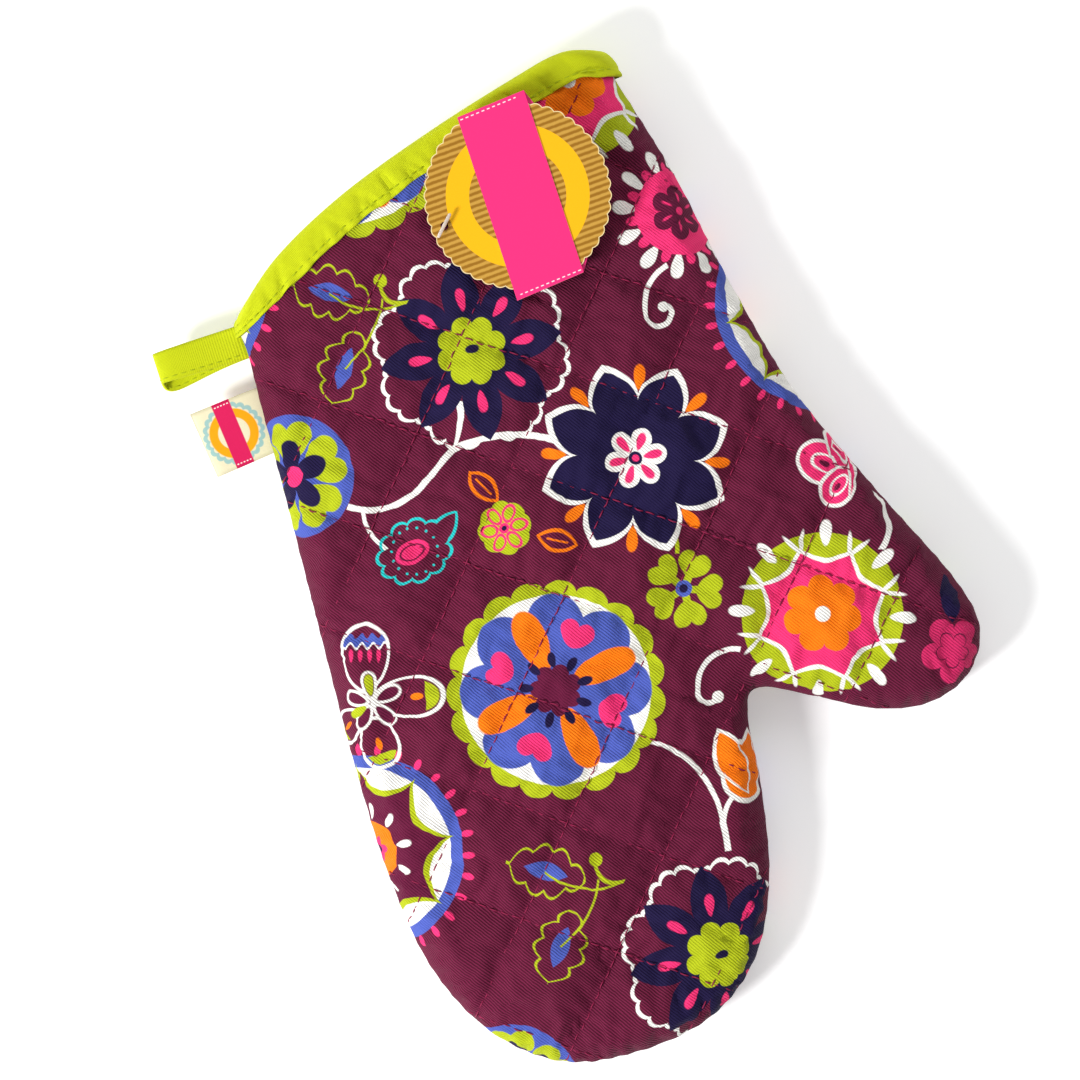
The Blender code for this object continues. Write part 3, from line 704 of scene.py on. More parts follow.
def binding(name):
    """The lime tape folded over the mouth's edge, a little gathered where it is sewn."""
    outer, inner = tape_section()
    profile = outer + inner[::-1]
    rows = []
    for index, (along, depth) in enumerate(profile):
        on_outer = index < len(outer)
        row = [tape_row(face, along, depth, on_outer) for face in (1, -1)]
        rows.append(np.vstack([row[0], row[1][::-1]]))
    grid = np.stack(rows, axis=1)
    count, around = grid.shape[:2]
    faces = []
    for i in range(count):
        j = (i + 1) % count
        for k in range(around):
            after = (k + 1) % around
            faces.append((i * around + k, i * around + after, j * around + after, j * around + k))
    made = add_mesh(name, grid.reshape(-1, 3), faces)
    whole = np.concatenate([MOUTH_ALONG, MOUTH_ALONG[::-1] + 400])
    across = np.array([a for a, _ in outer] + [a + 30 for a, _ in inner[::-1]])
    store(made, "flat", np.column_stack([np.repeat(whole, around), np.tile(across, count)]))
    return made


def binding_stitches(name):
    """The line of stitches just inside the tape's edge, outside the mouth on both panels."""
    centres, ups = [], []
    for face in (1, -1):
        line, up = mouth_row(face, TAPE_STITCH, TAPE_NEAR - TAPE)
        made = stitches_along(line, up, TAPE_STITCH_LONG, STITCH_GAP, STITCH_ARCH * 0.7 + 0.05)
        centres += made[0]
        ups += made[1]
    return thread(name, centres, ups, 0.9)


def ribbon(name, rows, thickness, marks):
    """A closed strip: rows are stations x across x 3, thickness in mm, marks each point's flat place."""
    rows = np.asarray(rows, float)
    stations, across = rows.shape[:2]
    along = np.gradient(rows, axis=0)
    beside = np.gradient(rows, axis=1)
    normals = np.cross(along, beside)
    normals /= np.linalg.norm(normals, axis=2)[..., None]
    half = thickness / 2 * MM
    top, bottom = rows + normals * half, rows - normals * half
    verts = np.vstack([top.reshape(-1, 3), bottom.reshape(-1, 3)])
    count = stations * across
    faces = []
    for s in range(stations - 1):
        for k in range(across - 1):
            a = s * across + k
            quad = (a, a + across, a + across + 1, a + 1)
            faces.append(quad)
            faces.append(tuple(i + count for i in quad[::-1]))
        for a, b in ((s * across, (s + 1) * across), ((s + 2) * across - 1, (s + 1) * across - 1)):
            faces.append((b, a, a + count, b + count))
    for k in range(across - 1):
        a = k
        faces.append((a, a + 1, a + 1 + count, a + count))
        b = (stations - 1) * across + k
        faces.append((b + 1, b, b + count, b + 1 + count))
    made = add_mesh(name, verts, faces)
    fix = bmesh.new()
    fix.from_mesh(made.data)
    bmesh.ops.recalc_face_normals(fix, faces=fix.faces)
    fix.to_mesh(made.data)
    fix.free()
    marks = np.asarray(marks, float).reshape(-1, marks.shape[-1])
    store(made, "flat", np.vstack([marks, marks]))
    return made


LOOP_ROOT_AT = np.array([-104.8, 105.3])
LOOP_END_AT = np.array([-140.0, 101.6])
LOOP_WIDTH = 12.6
LOOP_THICK = 0.95
LOOP_LENGTH = 62.0
LOOP_SWELL = 2.6
LOOP_SLIDE = 3.6


def loop_rows(stations=61, across=9):
    """The hanging loop as one tape: out along the upper strand, round the fold, and back under it."""
    t = np.linspace(0, 1, stations)
    reach = LOOP_END_AT - LOOP_ROOT_AT
    out = reach / np.linalg.norm(reach)
    side = np.array([-out[1], out[0]])
    share = np.where(t < 0.5, t * 2, (1 - t) * 2)
    under = smooth(0.46, 0.54, t)
    swell = np.sin(math.pi * np.clip(share, 0, 1) ** 1.35)
    along = np.sin(share * math.pi / 2) ** 0.9
    height = np.where(t < 0.5, 1, -1) * (0.6 + LOOP_SWELL * swell) * smooth(0, 0.14, 1 - share)
    height = height + 1.1 * (1 - 2 * under) * smooth(0.0, 0.06, 1 - share)
    slide = -LOOP_SLIDE * under * np.sin(math.pi * share**1.8) ** 0.8
    width = LOOP_WIDTH * (1 - 0.1 * share)
    rows = []
    for k in range(across):
        v = k / (across - 1) - 0.5
        tilt = (0.8 - 1.8 * under) * v * np.sin(math.pi * share)
        plan = LOOP_ROOT_AT + along[:, None] * reach + (v * width - slide)[:, None] * side
        rows.append(np.column_stack([plan, SEAM_Z + height + tilt]) * MM)
    grid = np.stack(rows, axis=1)
    marks = np.dstack(np.meshgrid(np.linspace(-0.5, 0.5, across) * LOOP_WIDTH, t * LOOP_LENGTH))
    return grid, marks


def loop_stitches(name, grid):
    """One line of stitches near the lower edge of the loop's tape."""
    column = -2
    line = grid[2:-2, column]
    beside = np.gradient(grid, axis=1)[2:-2, column]
    along = np.gradient(line, axis=0)
    up = np.cross(along, beside)
    up /= np.linalg.norm(up, axis=1)[:, None]
    centres, ups = [], []
    for sign in (1, -1):
        made = stitches_along(line, up * sign, LOOP_STITCH_LONG, STITCH_GAP, 0.4 + STITCH_ARCH * 0.6)
        centres += made[0]
        ups += made[1]
    return thread(name, centres, ups, 0.8)


# The label's corners: the upper and lower at the seam, and the upper and lower at its fold.
LABEL_CORNERS = np.array([(-104.6, 87.6), (-103.0, 63.0), (-131.8, 82.8), (-126.4, 57.7)])
LABEL_THICK = 0.36


def label_rows(stations=49, across=15):
    """The folded label: the upper ply from the seam to the fold, and the lower ply back."""
    t = np.linspace(0, 1, stations)
    share = np.where(t < 0.5, t * 2, (1 - t) * 2)
    under = smooth(0.47, 0.53, t)
    rows, marks = [], []
    top_seam, low_seam, top_fold, low_fold = LABEL_CORNERS
    for k in range(across):
        v = k / (across - 1)
        seam = top_seam + (low_seam - top_seam) * v
        fold = top_fold + (low_fold - top_fold) * v
        plan = seam + share[:, None] * (fold - seam)
        plan = plan + (under * (1 - share) * 0.5)[:, None] * np.array([0.2, -1.0])
        bow = 0.5 * np.sin(math.pi * v) + 0.35 * np.sin(share * 5 + v * 3)
        gap = 0.35 * smooth(0, 0.12, 1 - share) * (1 - 2 * under)
        z = SEAM_Z + gap - 1.2 * share**2 + bow * share * 0.8
        rows.append(np.column_stack([plan, z]) * MM)
        marks.append(np.column_stack([plan, np.where(t < 0.5, 1, -1)]))
    return np.stack(rows, axis=1), np.stack(marks, axis=1)


TAG_CENTRE = np.array([4.1, 135.3])
TAG_HOLE = np.array([-24.5, 129.9])
TAG_RADIUS = 34.5
TAG_SCALLOPS = 46
SCALLOP = 0.9
BAND_CORNERS = np.array([(-11.7, 167.8), (14.2, 172.6), (21.9, 102.8), (-4.0, 97.6)])
CARD_BOTTOM = 37.0
CARD_TOP = 37.55
CARD_NET = 3.0
CARD_BOW = 0.35
BAND_GAP = 0.12
BAND_THICK = 0.3
HOLE_RADIUS = 1.6


def card_net(outline, hole):
    """A flat outline filled with a fine triangle net, with a round hole left open in it if there is one."""
    rings = [outline] + ([hole] if hole is not None else [])
    edges, start = [], 0
    for ring in rings:
        edges += [(start + i, start + (i + 1) % len(ring)) for i in range(len(ring))]
        start += len(ring)
    span = np.arange(-16, 17) * CARD_NET
    grid = np.array([(x, y) for x in span for y in span]) + outline.mean(0)
    grid = grid[inside(grid, outline)]
    grid = grid[nearest(np.vstack([outline, outline[:1]]), grid)[0] > CARD_NET * 0.4]
    if hole is not None:
        grid = grid[np.linalg.norm(grid - hole.mean(0), axis=1) > HOLE_RADIUS * 2]
    points = [Vector(p) for p in np.vstack(rings + [grid])]
    places, _, faces, _, _, _ = delaunay_2d_cdt(points, edges, [], 1, 1e-4)
    places = np.array([tuple(p) for p in places])
    if hole is not None:
        middles = np.array([places[list(f)].mean(0) for f in faces])
        off = np.linalg.norm(middles - hole.mean(0), axis=1)
        faces = [f for f, far in zip(faces, off) if far > HOLE_RADIUS * 0.8]
    return places, faces


def flat_piece(name, outline, low, high, hole=None):
    """A card between two heights, bowed a little towards its rim."""
    places, kept = card_net(outline, hole)
    mesh = bpy.data.meshes.new(name)
    rise = CARD_BOW * (((places - TAG_CENTRE) ** 2).sum(1) / TAG_RADIUS**2 - 0.5)
    mesh.from_pydata([(x * MM, y * MM, (low + r) * MM) for (x, y), r in zip(places, rise)], [], kept)
    bm = bmesh.new()
    bm.from_mesh(mesh)
    bmesh.ops.recalc_face_normals(bm, faces=bm.faces)
    for item in bmesh.ops.extrude_face_region(bm, geom=bm.faces[:])["geom"]:
        if isinstance(item, bmesh.types.BMVert):
            item.co.z += (high - low) * MM
    bmesh.ops.recalc_face_normals(bm, faces=bm.faces)
    bm.to_mesh(mesh)
    bm.free()
    obj = add_object(name, mesh)
    store(obj, "flat", coordinates(obj)[:, :2] / MM - TAG_CENTRE)
    return obj


def scalloped_edge():
    """The disc's outline."""
    turn = np.arange(TAG_SCALLOPS * 8) / (TAG_SCALLOPS * 8) * 2 * math.pi
    radius = TAG_RADIUS - SCALLOP * (1 - np.abs(np.sin(turn * TAG_SCALLOPS / 2)))
    return TAG_CENTRE + np.column_stack([np.cos(turn), np.sin(turn)]) * radius[:, None]


def round_hole(centre, radius, count=24):
    """A circle of points."""
    turn = np.arange(count) / count * 2 * math.pi
    return centre + np.column_stack([np.cos(turn), np.sin(turn)]) * radius


def dense_loop(corners, step=2.0):
    """The closed outline with points added along its sides."""
    loop = np.vstack([corners, corners[:1]])
    parts = []
    for a, b in zip(loop, loop[1:]):
        count = max(1, int(np.linalg.norm(b - a) / step))
        parts.append(a + (b - a) * (np.arange(count) / count)[:, None])
    return np.vstack(parts)


UP = np.array([0.0, 0.0, 1.0])
BAR_TURN = math.radians(51.5)
BAR_REACH = 5.0
BAR_SHARES = np.array([-1, -0.96, -0.86, -0.5, -0.12, 0, 0.12, 0.5, 0.86, 0.96, 1.0])
BAR_RADII = np.array([0.25, 0.5, 0.66, 0.66, 0.66, 0.72, 0.66, 0.66, 0.66, 0.5, 0.25])
BAR_SAG = 0.35
FILAMENT = 0.34
FILAMENT_FOOT = 0.3
FILAMENT_RINGS = 24


def fastener(name):
    """The nylon T: a flattened bar over the card, its filament down through the hole, and the bar inside."""
    low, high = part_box("tag_fastener")
    hole = np.array([*TAG_HOLE, 0.0]) * MM
    way = np.array([math.cos(BAR_TURN), math.sin(BAR_TURN), 0.0])
    sag = BAR_SAG * MM * (1 - BAR_SHARES**2)
    bars = []
    for z in (high.z - 0.65 * MM, low.z + 0.6 * MM):
        height = z - BAR_SAG * MM + sag
        bars.append(hole + way * BAR_SHARES[:, None] * BAR_REACH * MM + UP * height[:, None])
    made = tubes(name, bars, np.tile(UP, (2, len(BAR_SHARES), 1)), BAR_RADII * MM, sides=12, flatten=0.72)
    heights = np.linspace(high.z - 0.7 * MM, low.z + 0.8 * MM, FILAMENT_RINGS)
    share = np.linspace(0, 1, FILAMENT_RINGS)
    sway = 0.3 * MM * np.sin(share * math.pi)
    line = hole + way * sway[:, None] + UP * heights[:, None]
    thick = FILAMENT + FILAMENT_FOOT * np.exp(-share / 0.04) + FILAMENT_FOOT * np.exp(-(1 - share) / 0.04)
    stem = tubes(name + "_filament", [line], np.tile(way, (1, FILAMENT_RINGS, 1)), thick * MM, sides=10)
    return made, stem


def srgb(*levels):
    """The linear colour of three screen levels from 0 to 255."""
    shares = [level / 255 for level in levels]
    return (*(c / 12.92 if c <= 0.04045 else ((c + 0.055) / 1.055) ** 2.4 for c in shares), 1.0)


PLUM = srgb(94, 16, 52)
# Painted shade in the twill's hollows and painted highlight on its ribs: a darker and a lighter copy of the
# plum.
PLUM_HOLLOW_SHADE = srgb(72, 6, 32)
PLUM_RIB_HIGHLIGHT = srgb(108, 25, 60)
PLUM_THREAD = srgb(132, 22, 64)
LIME = srgb(168, 180, 20)
NAVY = srgb(25, 15, 58)
BLUE = srgb(72, 88, 172)
PINK = srgb(236, 48, 112)
ORANGE = srgb(246, 118, 6)
WHITE = srgb(238, 236, 230)
TEAL = srgb(30, 190, 190)
TAPE_LIME = srgb(198, 208, 18)
LIME_THREAD = srgb(172, 186, 8)
MAGENTA = srgb(205, 40, 98)
LINING_CREAM = srgb(226, 218, 198)
FIBRE_WHITE = srgb(238, 236, 228)
NYLON_MILK = srgb(222, 208, 196)
CARD_BROWN = srgb(150, 102, 20)
CARD_TAN = srgb(196, 150, 62)
CARD_YELLOW = srgb(240, 180, 6)
# Pale cream painted highlight along the card's cut edge.
CARD_RIM_HIGHLIGHT = srgb(236, 214, 160)
CARD_CORE = srgb(240, 228, 200)
BAND_PINK = srgb(242, 44, 120)
# Darker pink of the band's back ply under the card: painted shade.
BAND_BACK_SHADE_PINK = srgb(214, 42, 112)
BAND_WHITE = srgb(250, 240, 240)
LABEL_CREAM = srgb(222, 214, 180)
LABEL_GREEN = srgb(150, 186, 180)
LABEL_YELLOW = srgb(236, 158, 10)
LABEL_MAGENTA = srgb(206, 24, 84)
LABEL_WHITE = srgb(246, 232, 230)


class Number:
    """A number that shader nodes work out, so that the print's shapes read as plain arithmetic."""

    tree = None

    def __init__(self, socket):
        self.socket = socket

    @classmethod
    def make(cls, kind, *terms, clamp=False):
        """The result of one kind of sum."""
        node = cls.tree.nodes.new("ShaderNodeMath")
        node.operation = kind
        node.use_clamp = clamp
        cls.feed(node, terms)
        return cls(node.outputs[0])

    @classmethod
    def feed(cls, node, terms):
        """Links or sets a node's inputs in turn."""
        for slot, term in zip(node.inputs, terms):
            if isinstance(term, Number):
                cls.tree.links.new(term.socket, slot)
            else:
                slot.default_value = float(term)

    def __add__(self, other):
        return Number.make("ADD", self, other)

    __radd__ = __add__

    def __sub__(self, other):
        return Number.make("SUBTRACT", self, other)

    def __rsub__(self, other):
        return Number.make("SUBTRACT", other, self)

    def __mul__(self, other):
        return Number.make("MULTIPLY", self, other)

    __rmul__ = __mul__

    def __abs__(self):
        return Number.make("ABSOLUTE", self)

    def times_plus(self, factor, term):
        """This number times a factor, plus a term."""
        return Number.make("MULTIPLY_ADD", self, factor, term)


def high(a, b):
    """The higher number, and so the overlap of two shapes from their distances."""
    return Number.make("MAXIMUM", a, b)


def low(a, b):
    """The lower number, and so both shapes together from their distances."""
    return Number.make("MINIMUM", a, b)


def hypot(x, y):
    """The length of (x, y)."""
    pack = Number.tree.nodes.new("ShaderNodeCombineXYZ")
    Number.feed(pack, (x, y))
    size = Number.tree.nodes.new("ShaderNodeVectorMath")
    size.operation = "LENGTH"
    Number.tree.links.new(pack.outputs[0], size.inputs[0])
    return Number(size.outputs["Value"])


# How soft the print's edges are, and the colour sockets of a mix node.
EDGE = 0.16
MIX_SHARE, MIX_UNDER, MIX_OVER, MIX_RESULT = 0, 6, 7, 2


def cover(distance, edge=EDGE):
    """1 inside a shape and 0 outside it, from the distance to its edge."""
    return Number.make("MULTIPLY_ADD", distance, -0.5 / edge, 0.5, clamp=True)


class Paint:
    """The print's colour so far, with shapes laid over it one by one."""

    def __init__(self, colour):
        self.socket = None
        self.colour = colour

    def lay(self, distance, colour, edge=EDGE):
        """Lays a shape in one colour over what is there."""
        mix = Number.tree.nodes.new("ShaderNodeMix")
        mix.data_type = "RGBA"
        Number.tree.links.new(cover(distance, edge).socket, mix.inputs[MIX_SHARE])
        if self.socket is None:
            mix.inputs[MIX_UNDER].default_value = self.colour
        else:
            Number.tree.links.new(self.socket, mix.inputs[MIX_UNDER])
        mix.inputs[MIX_OVER].default_value = colour
        self.socket = mix.outputs[MIX_RESULT]


class Spot:
    """Where the shaded point is from one motif's centre, straight and polar, in millimetres."""

    def __init__(self, x, y):
        self.x, self.y = x, y
        self.polar = None

    def r(self):
        """Distance from the centre."""
        return self.rt()[0]

    def rt(self):
        """Distance from the centre, and the angle there."""
        if self.polar is None:
            self.polar = (hypot(self.x, self.y), Number.make("ARCTAN2", self.y, self.x))
        return self.polar

    def fold(self, count, turn=0.0):
        """The point turned into the first of count equal sectors, whose middle is along x."""
        r, angle = self.rt()
        half = math.pi / count
        held = Number.make("WRAP", angle - math.radians(turn), half, -half)
        return Spot(r * Number.make("COSINE", held), r * Number.make("SINE", held))

    def at(self, x, y, degrees=0.0):
        """The same point seen from a place off the centre, with x along the given direction."""
        c, s = math.cos(math.radians(degrees)), math.sin(math.radians(degrees))
        if degrees == 0:
            return Spot(self.x - x, self.y - y)
        u = self.x.times_plus(c, self.y.times_plus(s, -x * c - y * s))
        v = self.x.times_plus(-s, self.y.times_plus(c, x * s - y * c))
        return Spot(u, v)

    def lobes(self, count, valley, tip, turn=0.0, power=1.0):
        """Distance outside a flower outline whose radius runs between valley and tip."""
        r, angle = self.rt()
        wave = abs(Number.make("COSINE", angle.times_plus(count / 2, -math.radians(turn) * count / 2)))
        if power != 1.0:
            wave = Number.make("POWER", wave, power)
        return r - wave.times_plus(tip - valley, valley)

    def petals(self, count, valley, tip, turn=0.0, power=0.6):
        """Distance outside a flower of pointed petals with rounded sides."""
        r, angle = self.rt()
        half = math.pi / count
        held = abs(Number.make("WRAP", angle - math.radians(turn), half, -half))
        share = Number.make("POWER", held.times_plus(-1 / half, 1.0), power)
        return (r - share.times_plus(tip - valley, valley)) * 0.8

    def disc(self, radius):
        """Distance outside a circle."""
        return self.r() - radius

    def oval(self, centre, along, across, taper=0.0):
        """Distance outside an oval centred along x; taper above 0 makes it wider at its far end."""
        u = self.x.times_plus(1 / along, -centre / along)
        width = self.y * (1 / across)
        if taper:
            width = Number.make("DIVIDE", width, u.times_plus(taper, 1.0))
        return hypot(u, width).times_plus(min(along, across), -min(along, across))

    def heart(self, centre, size):
        """Distance outside a heart on the x axis with its point towards the centre."""
        half = Spot(self.x, abs(self.y))
        turned = half.at(centre - size * 0.5, 0, 30)
        return turned.oval(size * 0.5, size * 0.62, size * 0.4, 0.25)

    def leaf(self, length, width):
        """Distance outside a pointed leaf of this length and width, lying along x."""
        u = self.x * (2 / length)
        edge = (u * u).times_plus(-width / 2, width / 2)
        return (abs(self.y) - edge) * 0.85

    def star(self, count, tip, valley, turn=0.0):
        """Distance outside a straight-sided star."""
        part = self.fold(count, turn)
        half = math.pi / count
        slope = (tip / valley - math.cos(half)) / math.sin(half)
        return (part.x + abs(part.y).times_plus(slope, -tip)) * (1 / math.hypot(1, slope))


def line_of(distance, width):
    """The outline of a shape as a stroke of this width."""
    return abs(distance) - width / 2


# The print repeats by these two steps across the cloth. Above and below these heights it is drawn aside.
REPEAT = np.array([[37.0, -231.0], [330.0, -40.0]])
UPPER_FROM = 75.0
LOWER_FROM = -75.0


def repeat_coordinates(x, y):
    """The point measured in print repeats, worked out once for all motifs."""
    inverse = np.linalg.inv(REPEAT.T)
    return (x.times_plus(inverse[0, 0], y * inverse[0, 1]), x.times_plus(inverse[1, 0], y * inverse[1, 1]))


def lower_place(lower):
    """How far below a motif its next repeat is, with its own shift."""
    return (REPEAT[0, 0] + lower[0], REPEAT[0, 1] + lower[1])


class Print:
    """The folk flower print: its motifs repeat over the cloth, and each has its own centre."""

    def __init__(self, x, y, paint):
        self.x, self.y = x, y
        self.repeats = repeat_coordinates(x, y)
        self.inverse = np.linalg.inv(REPEAT.T)
        self.upper = Number.make("GREATER_THAN", y, UPPER_FROM)
        self.lower = Number.make("LESS_THAN", y, LOWER_FROM)
        self.paint = paint

    def spot(self, x, y, upper=None, lower=None):
        """The shaded point seen from the nearest repeat of the motif at (x, y).

        upper and lower shift the repeats above UPPER_FROM or below LOWER_FROM, where the cloth is pulled.
        """
        centre = self.inverse @ np.array([x, y])
        parts = []
        for axis in range(2):
            part = self.repeats[axis] - centre[axis]
            for shift, where in ((upper, self.upper), (lower, self.lower)):
                if shift:
                    part = where.times_plus(-float(self.inverse[axis] @ np.array(shift)), part)
            parts.append(Number.make("WRAP", part, 0.5, -0.5))
        u, v = parts
        (step_x, step_y), (other_x, other_y) = REPEAT
        return Spot(u.times_plus(step_x, v * other_x), u.times_plus(step_y, v * other_y))

    def stem(self, start, end, bow, width, colour, taper=0.0):
        """A curved stroke between two places, bowed sideways by so many millimetres."""
        start, end = np.array(start, float), np.array(end, float)
        run = end - start
        length = float(np.linalg.norm(run))
        middle = (start + end) / 2
        spot = Spot(self.x, self.y).at(*middle, math.degrees(math.atan2(run[1], run[0])) or 1e-3)
        u = spot.x * (2 / length)
        curve = (u * u).times_plus(-bow, bow)
        slope = 1 / math.sqrt(1 + (2 * bow / length) ** 2)
        across = abs(spot.y - curve) * slope
        wide = across - width / 2
        if taper:
            wide = wide + u * (taper / 2)
        self.paint.lay(high(wide, abs(spot.x) - length / 2), colour)

    def arc(self, start, middle, end, width, colour):
        """A stroke along the circle through three places, from start to end."""
        (ax, ay), (bx, by), (cx, cy) = start, middle, end
        twice = 2 * (ax * (by - cy) + bx * (cy - ay) + cx * (ay - by))
        squares = [px * px + py * py for px, py in (start, middle, end)]
        x = (squares[0] * (by - cy) + squares[1] * (cy - ay) + squares[2] * (ay - by)) / twice
        y = (squares[0] * (cx - bx) + squares[1] * (ax - cx) + squares[2] * (bx - ax)) / twice
        radius = math.hypot(ax - x, ay - y)
        turns = [math.atan2(py - y, px - x) for px, py in (start, middle, end)]
        sweep = (turns[2] - turns[0]) % (2 * math.pi)
        if (turns[1] - turns[0]) % (2 * math.pi) > sweep:
            turns[0], sweep = turns[2], 2 * math.pi - sweep
        r, angle = Spot(self.x, self.y).at(x, y).rt()
        held = abs(Number.make("WRAP", angle - (turns[0] + sweep / 2), math.pi, -math.pi))
        past_end = held.times_plus(radius, -radius * sweep / 2)
        self.paint.lay(high(line_of(r - radius, width), past_end), colour)

    def curl(self, places, width, colour, dot):
        """A curling stroke through an odd number of places, with a dot at its end."""
        for n in range(0, len(places) - 2, 2):
            self.arc(*places[n : n + 3], width, colour)
        self.paint.lay(Spot(self.x, self.y).at(*places[-1]).disc(dot), colour)

    def navy_flower(self, x, y, lower):
        """A navy flower with eight petals inside a white scalloped ring."""
        s, lay = self.spot(x, y, lower=lower), self.paint.lay
        bumps = s.lobes(32, 0.0, 1.9, 0, 0.6)
        ring = s.lobes(8, 28.6, 34.6, 22.5, 0.6) - (s.r() - bumps)
        lay(line_of(ring, 1.6), WHITE)
        lay(s.petals(8, 16.5, 33.6, 0, 0.68), NAVY)
        lay(s.fold(8).oval(19.0, 4.1, 1.7, 0.35), PINK)
        lay(s.lobes(8, 10.0, 13.0, 10, 0.6), LIME)
        lay(s.at(0.5, 0.5, 5).oval(0.0, 2.6, 1.6), NAVY)

    def navy_star(self, x, y):
        """A navy flower edged in white with orange tips."""
        s, lay = self.spot(x, y), self.paint.lay
        lay(s.fold(8, 30.5).oval(30.0, 4.6, 2.0, 0.3), ORANGE)
        lay(s.petals(8, 23.4, 36.4, 8, 0.62), WHITE)
        lay(s.petals(8, 21.2, 33.6, 8, 0.62), NAVY)
        lay(s.lobes(6, 7.0, 11.4, 0, 0.7), WHITE)
        lay(s.fold(6).oval(6.4, 3.4, 1.5, 0.3), PINK)
        lay(s.disc(2.5), NAVY)
        lay(s.disc(1.3), PINK)

    def blue_disc(self, x, y, lower):
        """Five lime hearts on a blue disc."""
        s, lay = self.spot(x, y, lower=lower), self.paint.lay
        lay(s.disc(23.0), BLUE)
        petal = s.fold(5, 14)
        lay(petal.heart(13.8, 12.2), LIME)
        lay(petal.oval(7.4, 6.4, 3.9, 0.2), NAVY)
        lay(s.disc(3.9), PINK)

    def sprig(self, x, y, lower):
        """Two outlined leaves and a bud on thin lime stems; (x, y) is where the stems meet."""
        for dx, dy, turn, size in ((-26.5, 9.5, 155, 1.0), (-27.0, -19.0, 238, 0.95)):
            leaf = self.spot(x + dx, y + dy, lower=lower).at(0, 0, turn)
            outline = leaf.leaf(28 * size, 14.5 * size)
            bumps = abs(Number.make("SINE", leaf.x.times_plus(0.42, 0.5)))
            scalloped = bumps.times_plus(-2.3, outline)
            self.paint.lay(line_of(high(scalloped, abs(leaf.x) - 14.6 * size), 0.85), LIME)
            self.paint.lay(leaf.leaf(17 * size, 6.8 * size), BLUE)
        for dx, dy in ((0, 0), lower_place(lower)):
            cx, cy = x + dx, y + dy
            self.stem((cx - 27, cy + 9), (cx, cy), -4.0, 0.9, LIME)
            self.stem((cx - 27, cy - 19), (cx - 8, cy + 3), -3.0, 0.8, LIME)
            self.stem((cx - 8, cy + 8.5), (cx + 1, cy), -3.2, 1.4, LIME)
        self.paint.lay(self.spot(x - 7.4, y + 10.0, lower=lower).disc(2.5), LIME)

    def paisley(self, x, y):
        """A teal outlined drop with a pink heart."""
        s, lay = self.spot(x, y), self.paint.lay
        body = s.at(0, 0, 14)
        shape = Spot(body.x * 0.8, body.y)
        outline = shape.lobes(11, 9.6, 11.4, 0, 0.6)
        tail = s.at(11.5, 5.0, 42).leaf(17, 8)
        both = low(outline, tail)
        lay(line_of(both, 1.0), TEAL)
        beads = s.fold(15)
        lay(Spot(beads.x - 8.6, beads.y).disc(0.5), TEAL)
        lay(body.oval(-1.0, 6.6, 4.2), PINK)
        lay(line_of(body.oval(-1.0, 4.6, 2.6), 0.5), PLUM)

    def small_flower(self, x, y):
        """A small pink and lime flower with two orange leaves."""
        s, lay = self.spot(x, y), self.paint.lay
        for dx, dy, turn in ((-4.4, 16.5, 122), (18.0, -8.4, -25)):
            leaf = self.spot(x + dx, y + dy).at(0, 0, turn)
            outline = leaf.leaf(14.5, 7.4)
            lay(line_of(outline, 1.2), ORANGE)
            lay(high(abs(leaf.y) - 0.35, abs(leaf.x) - 4.0), ORANGE)
        lay(s.lobes(8, 9.0, 10.0, 0, 0.7), LIME)
        petal = s.fold(6)
        lay(line_of(petal.oval(5.6, 3.0, 2.0), 0.8), PINK)
        lay(s.disc(2.0), PINK)
        lay(s.disc(1.0), NAVY)

    def pink_disc(self, x, y):
        """A pink disc in a ring of white petals."""
        s, lay = self.spot(x, y), self.paint.lay
        lay(s.fold(12, 15).oval(20.5, 4.6, 2.3, 0.35), WHITE)
        lay(s.disc(16.5), PINK)
        lay(s.fold(12, 0).oval(17.5, 2.6, 1.7), PINK)
        lay(s.lobes(6, 6.8, 10.8, 20, 0.5), PLUM)
        lay(s.fold(6, 20).oval(5.6, 2.0, 0.55), PINK)
        lay(s.disc(1.5), PINK)

    def banded_flower(self, x, y, upper=None):
        """A round flower in bands of blue, white, lime and plum."""
        s, lay = self.spot(x, y, upper=upper), self.paint.lay
        lay(s.fold(30).oval(38.2, 2.3, 1.2), PINK)
        lay(s.disc(36.2), BLUE)
        lay(s.disc(31.5), WHITE)
        lay(s.lobes(8, 33.5, 24.0, 22.5, 0.55), LIME)
        lay(s.lobes(8, 31.0, 21.5, 22.5, 0.6), PLUM)
        lay(s.fold(9, 5).oval(14.6, 3.0, 1.4, 0.3), WHITE)
        lay(s.disc(10.8), ORANGE)
        lay(s.lobes(6, 3.0, 5.4, 0, 0.8), PINK)
        lay(s.disc(1.6), NAVY)

    def lime_ring(self, x, y, upper):
        """A lime disc with white petals round a pink and orange flower."""
        s, lay = self.spot(x, y, upper=upper), self.paint.lay
        lay(s.disc(30.0), LIME)
        part = s.fold(8, 8)
        fork = Spot(part.x, abs(part.y)).at(23.6, 0, 26)
        lay(fork.oval(4.2, 4.6, 0.85), WHITE)
        lay(s.fold(8, 30.5).oval(30.0, 4.8, 2.1, 0.2), WHITE)
        lay(s.lobes(8, 25.6, 20.6, 30.5, 0.9), WHITE)
        lay(s.lobes(8, 23.8, 18.8, 30.5, 0.9), PINK)
        lay(s.lobes(7, 10.6, 14.4, 30, 0.6), ORANGE)
        lay(s.disc(2.8), WHITE)

    def heart_petals(self, x, y):
        """A small flower with five lime hearts for petals."""
        s, lay = self.spot(x, y), self.paint.lay
        petal = s.fold(5, 55)
        lay(petal.heart(9.8, 8.2), LIME)
        lay(petal.oval(3.6, 3.8, 1.4), LIME)
        lay(s.disc(3.1), BLUE)
        lay(s.disc(1.6), NAVY)

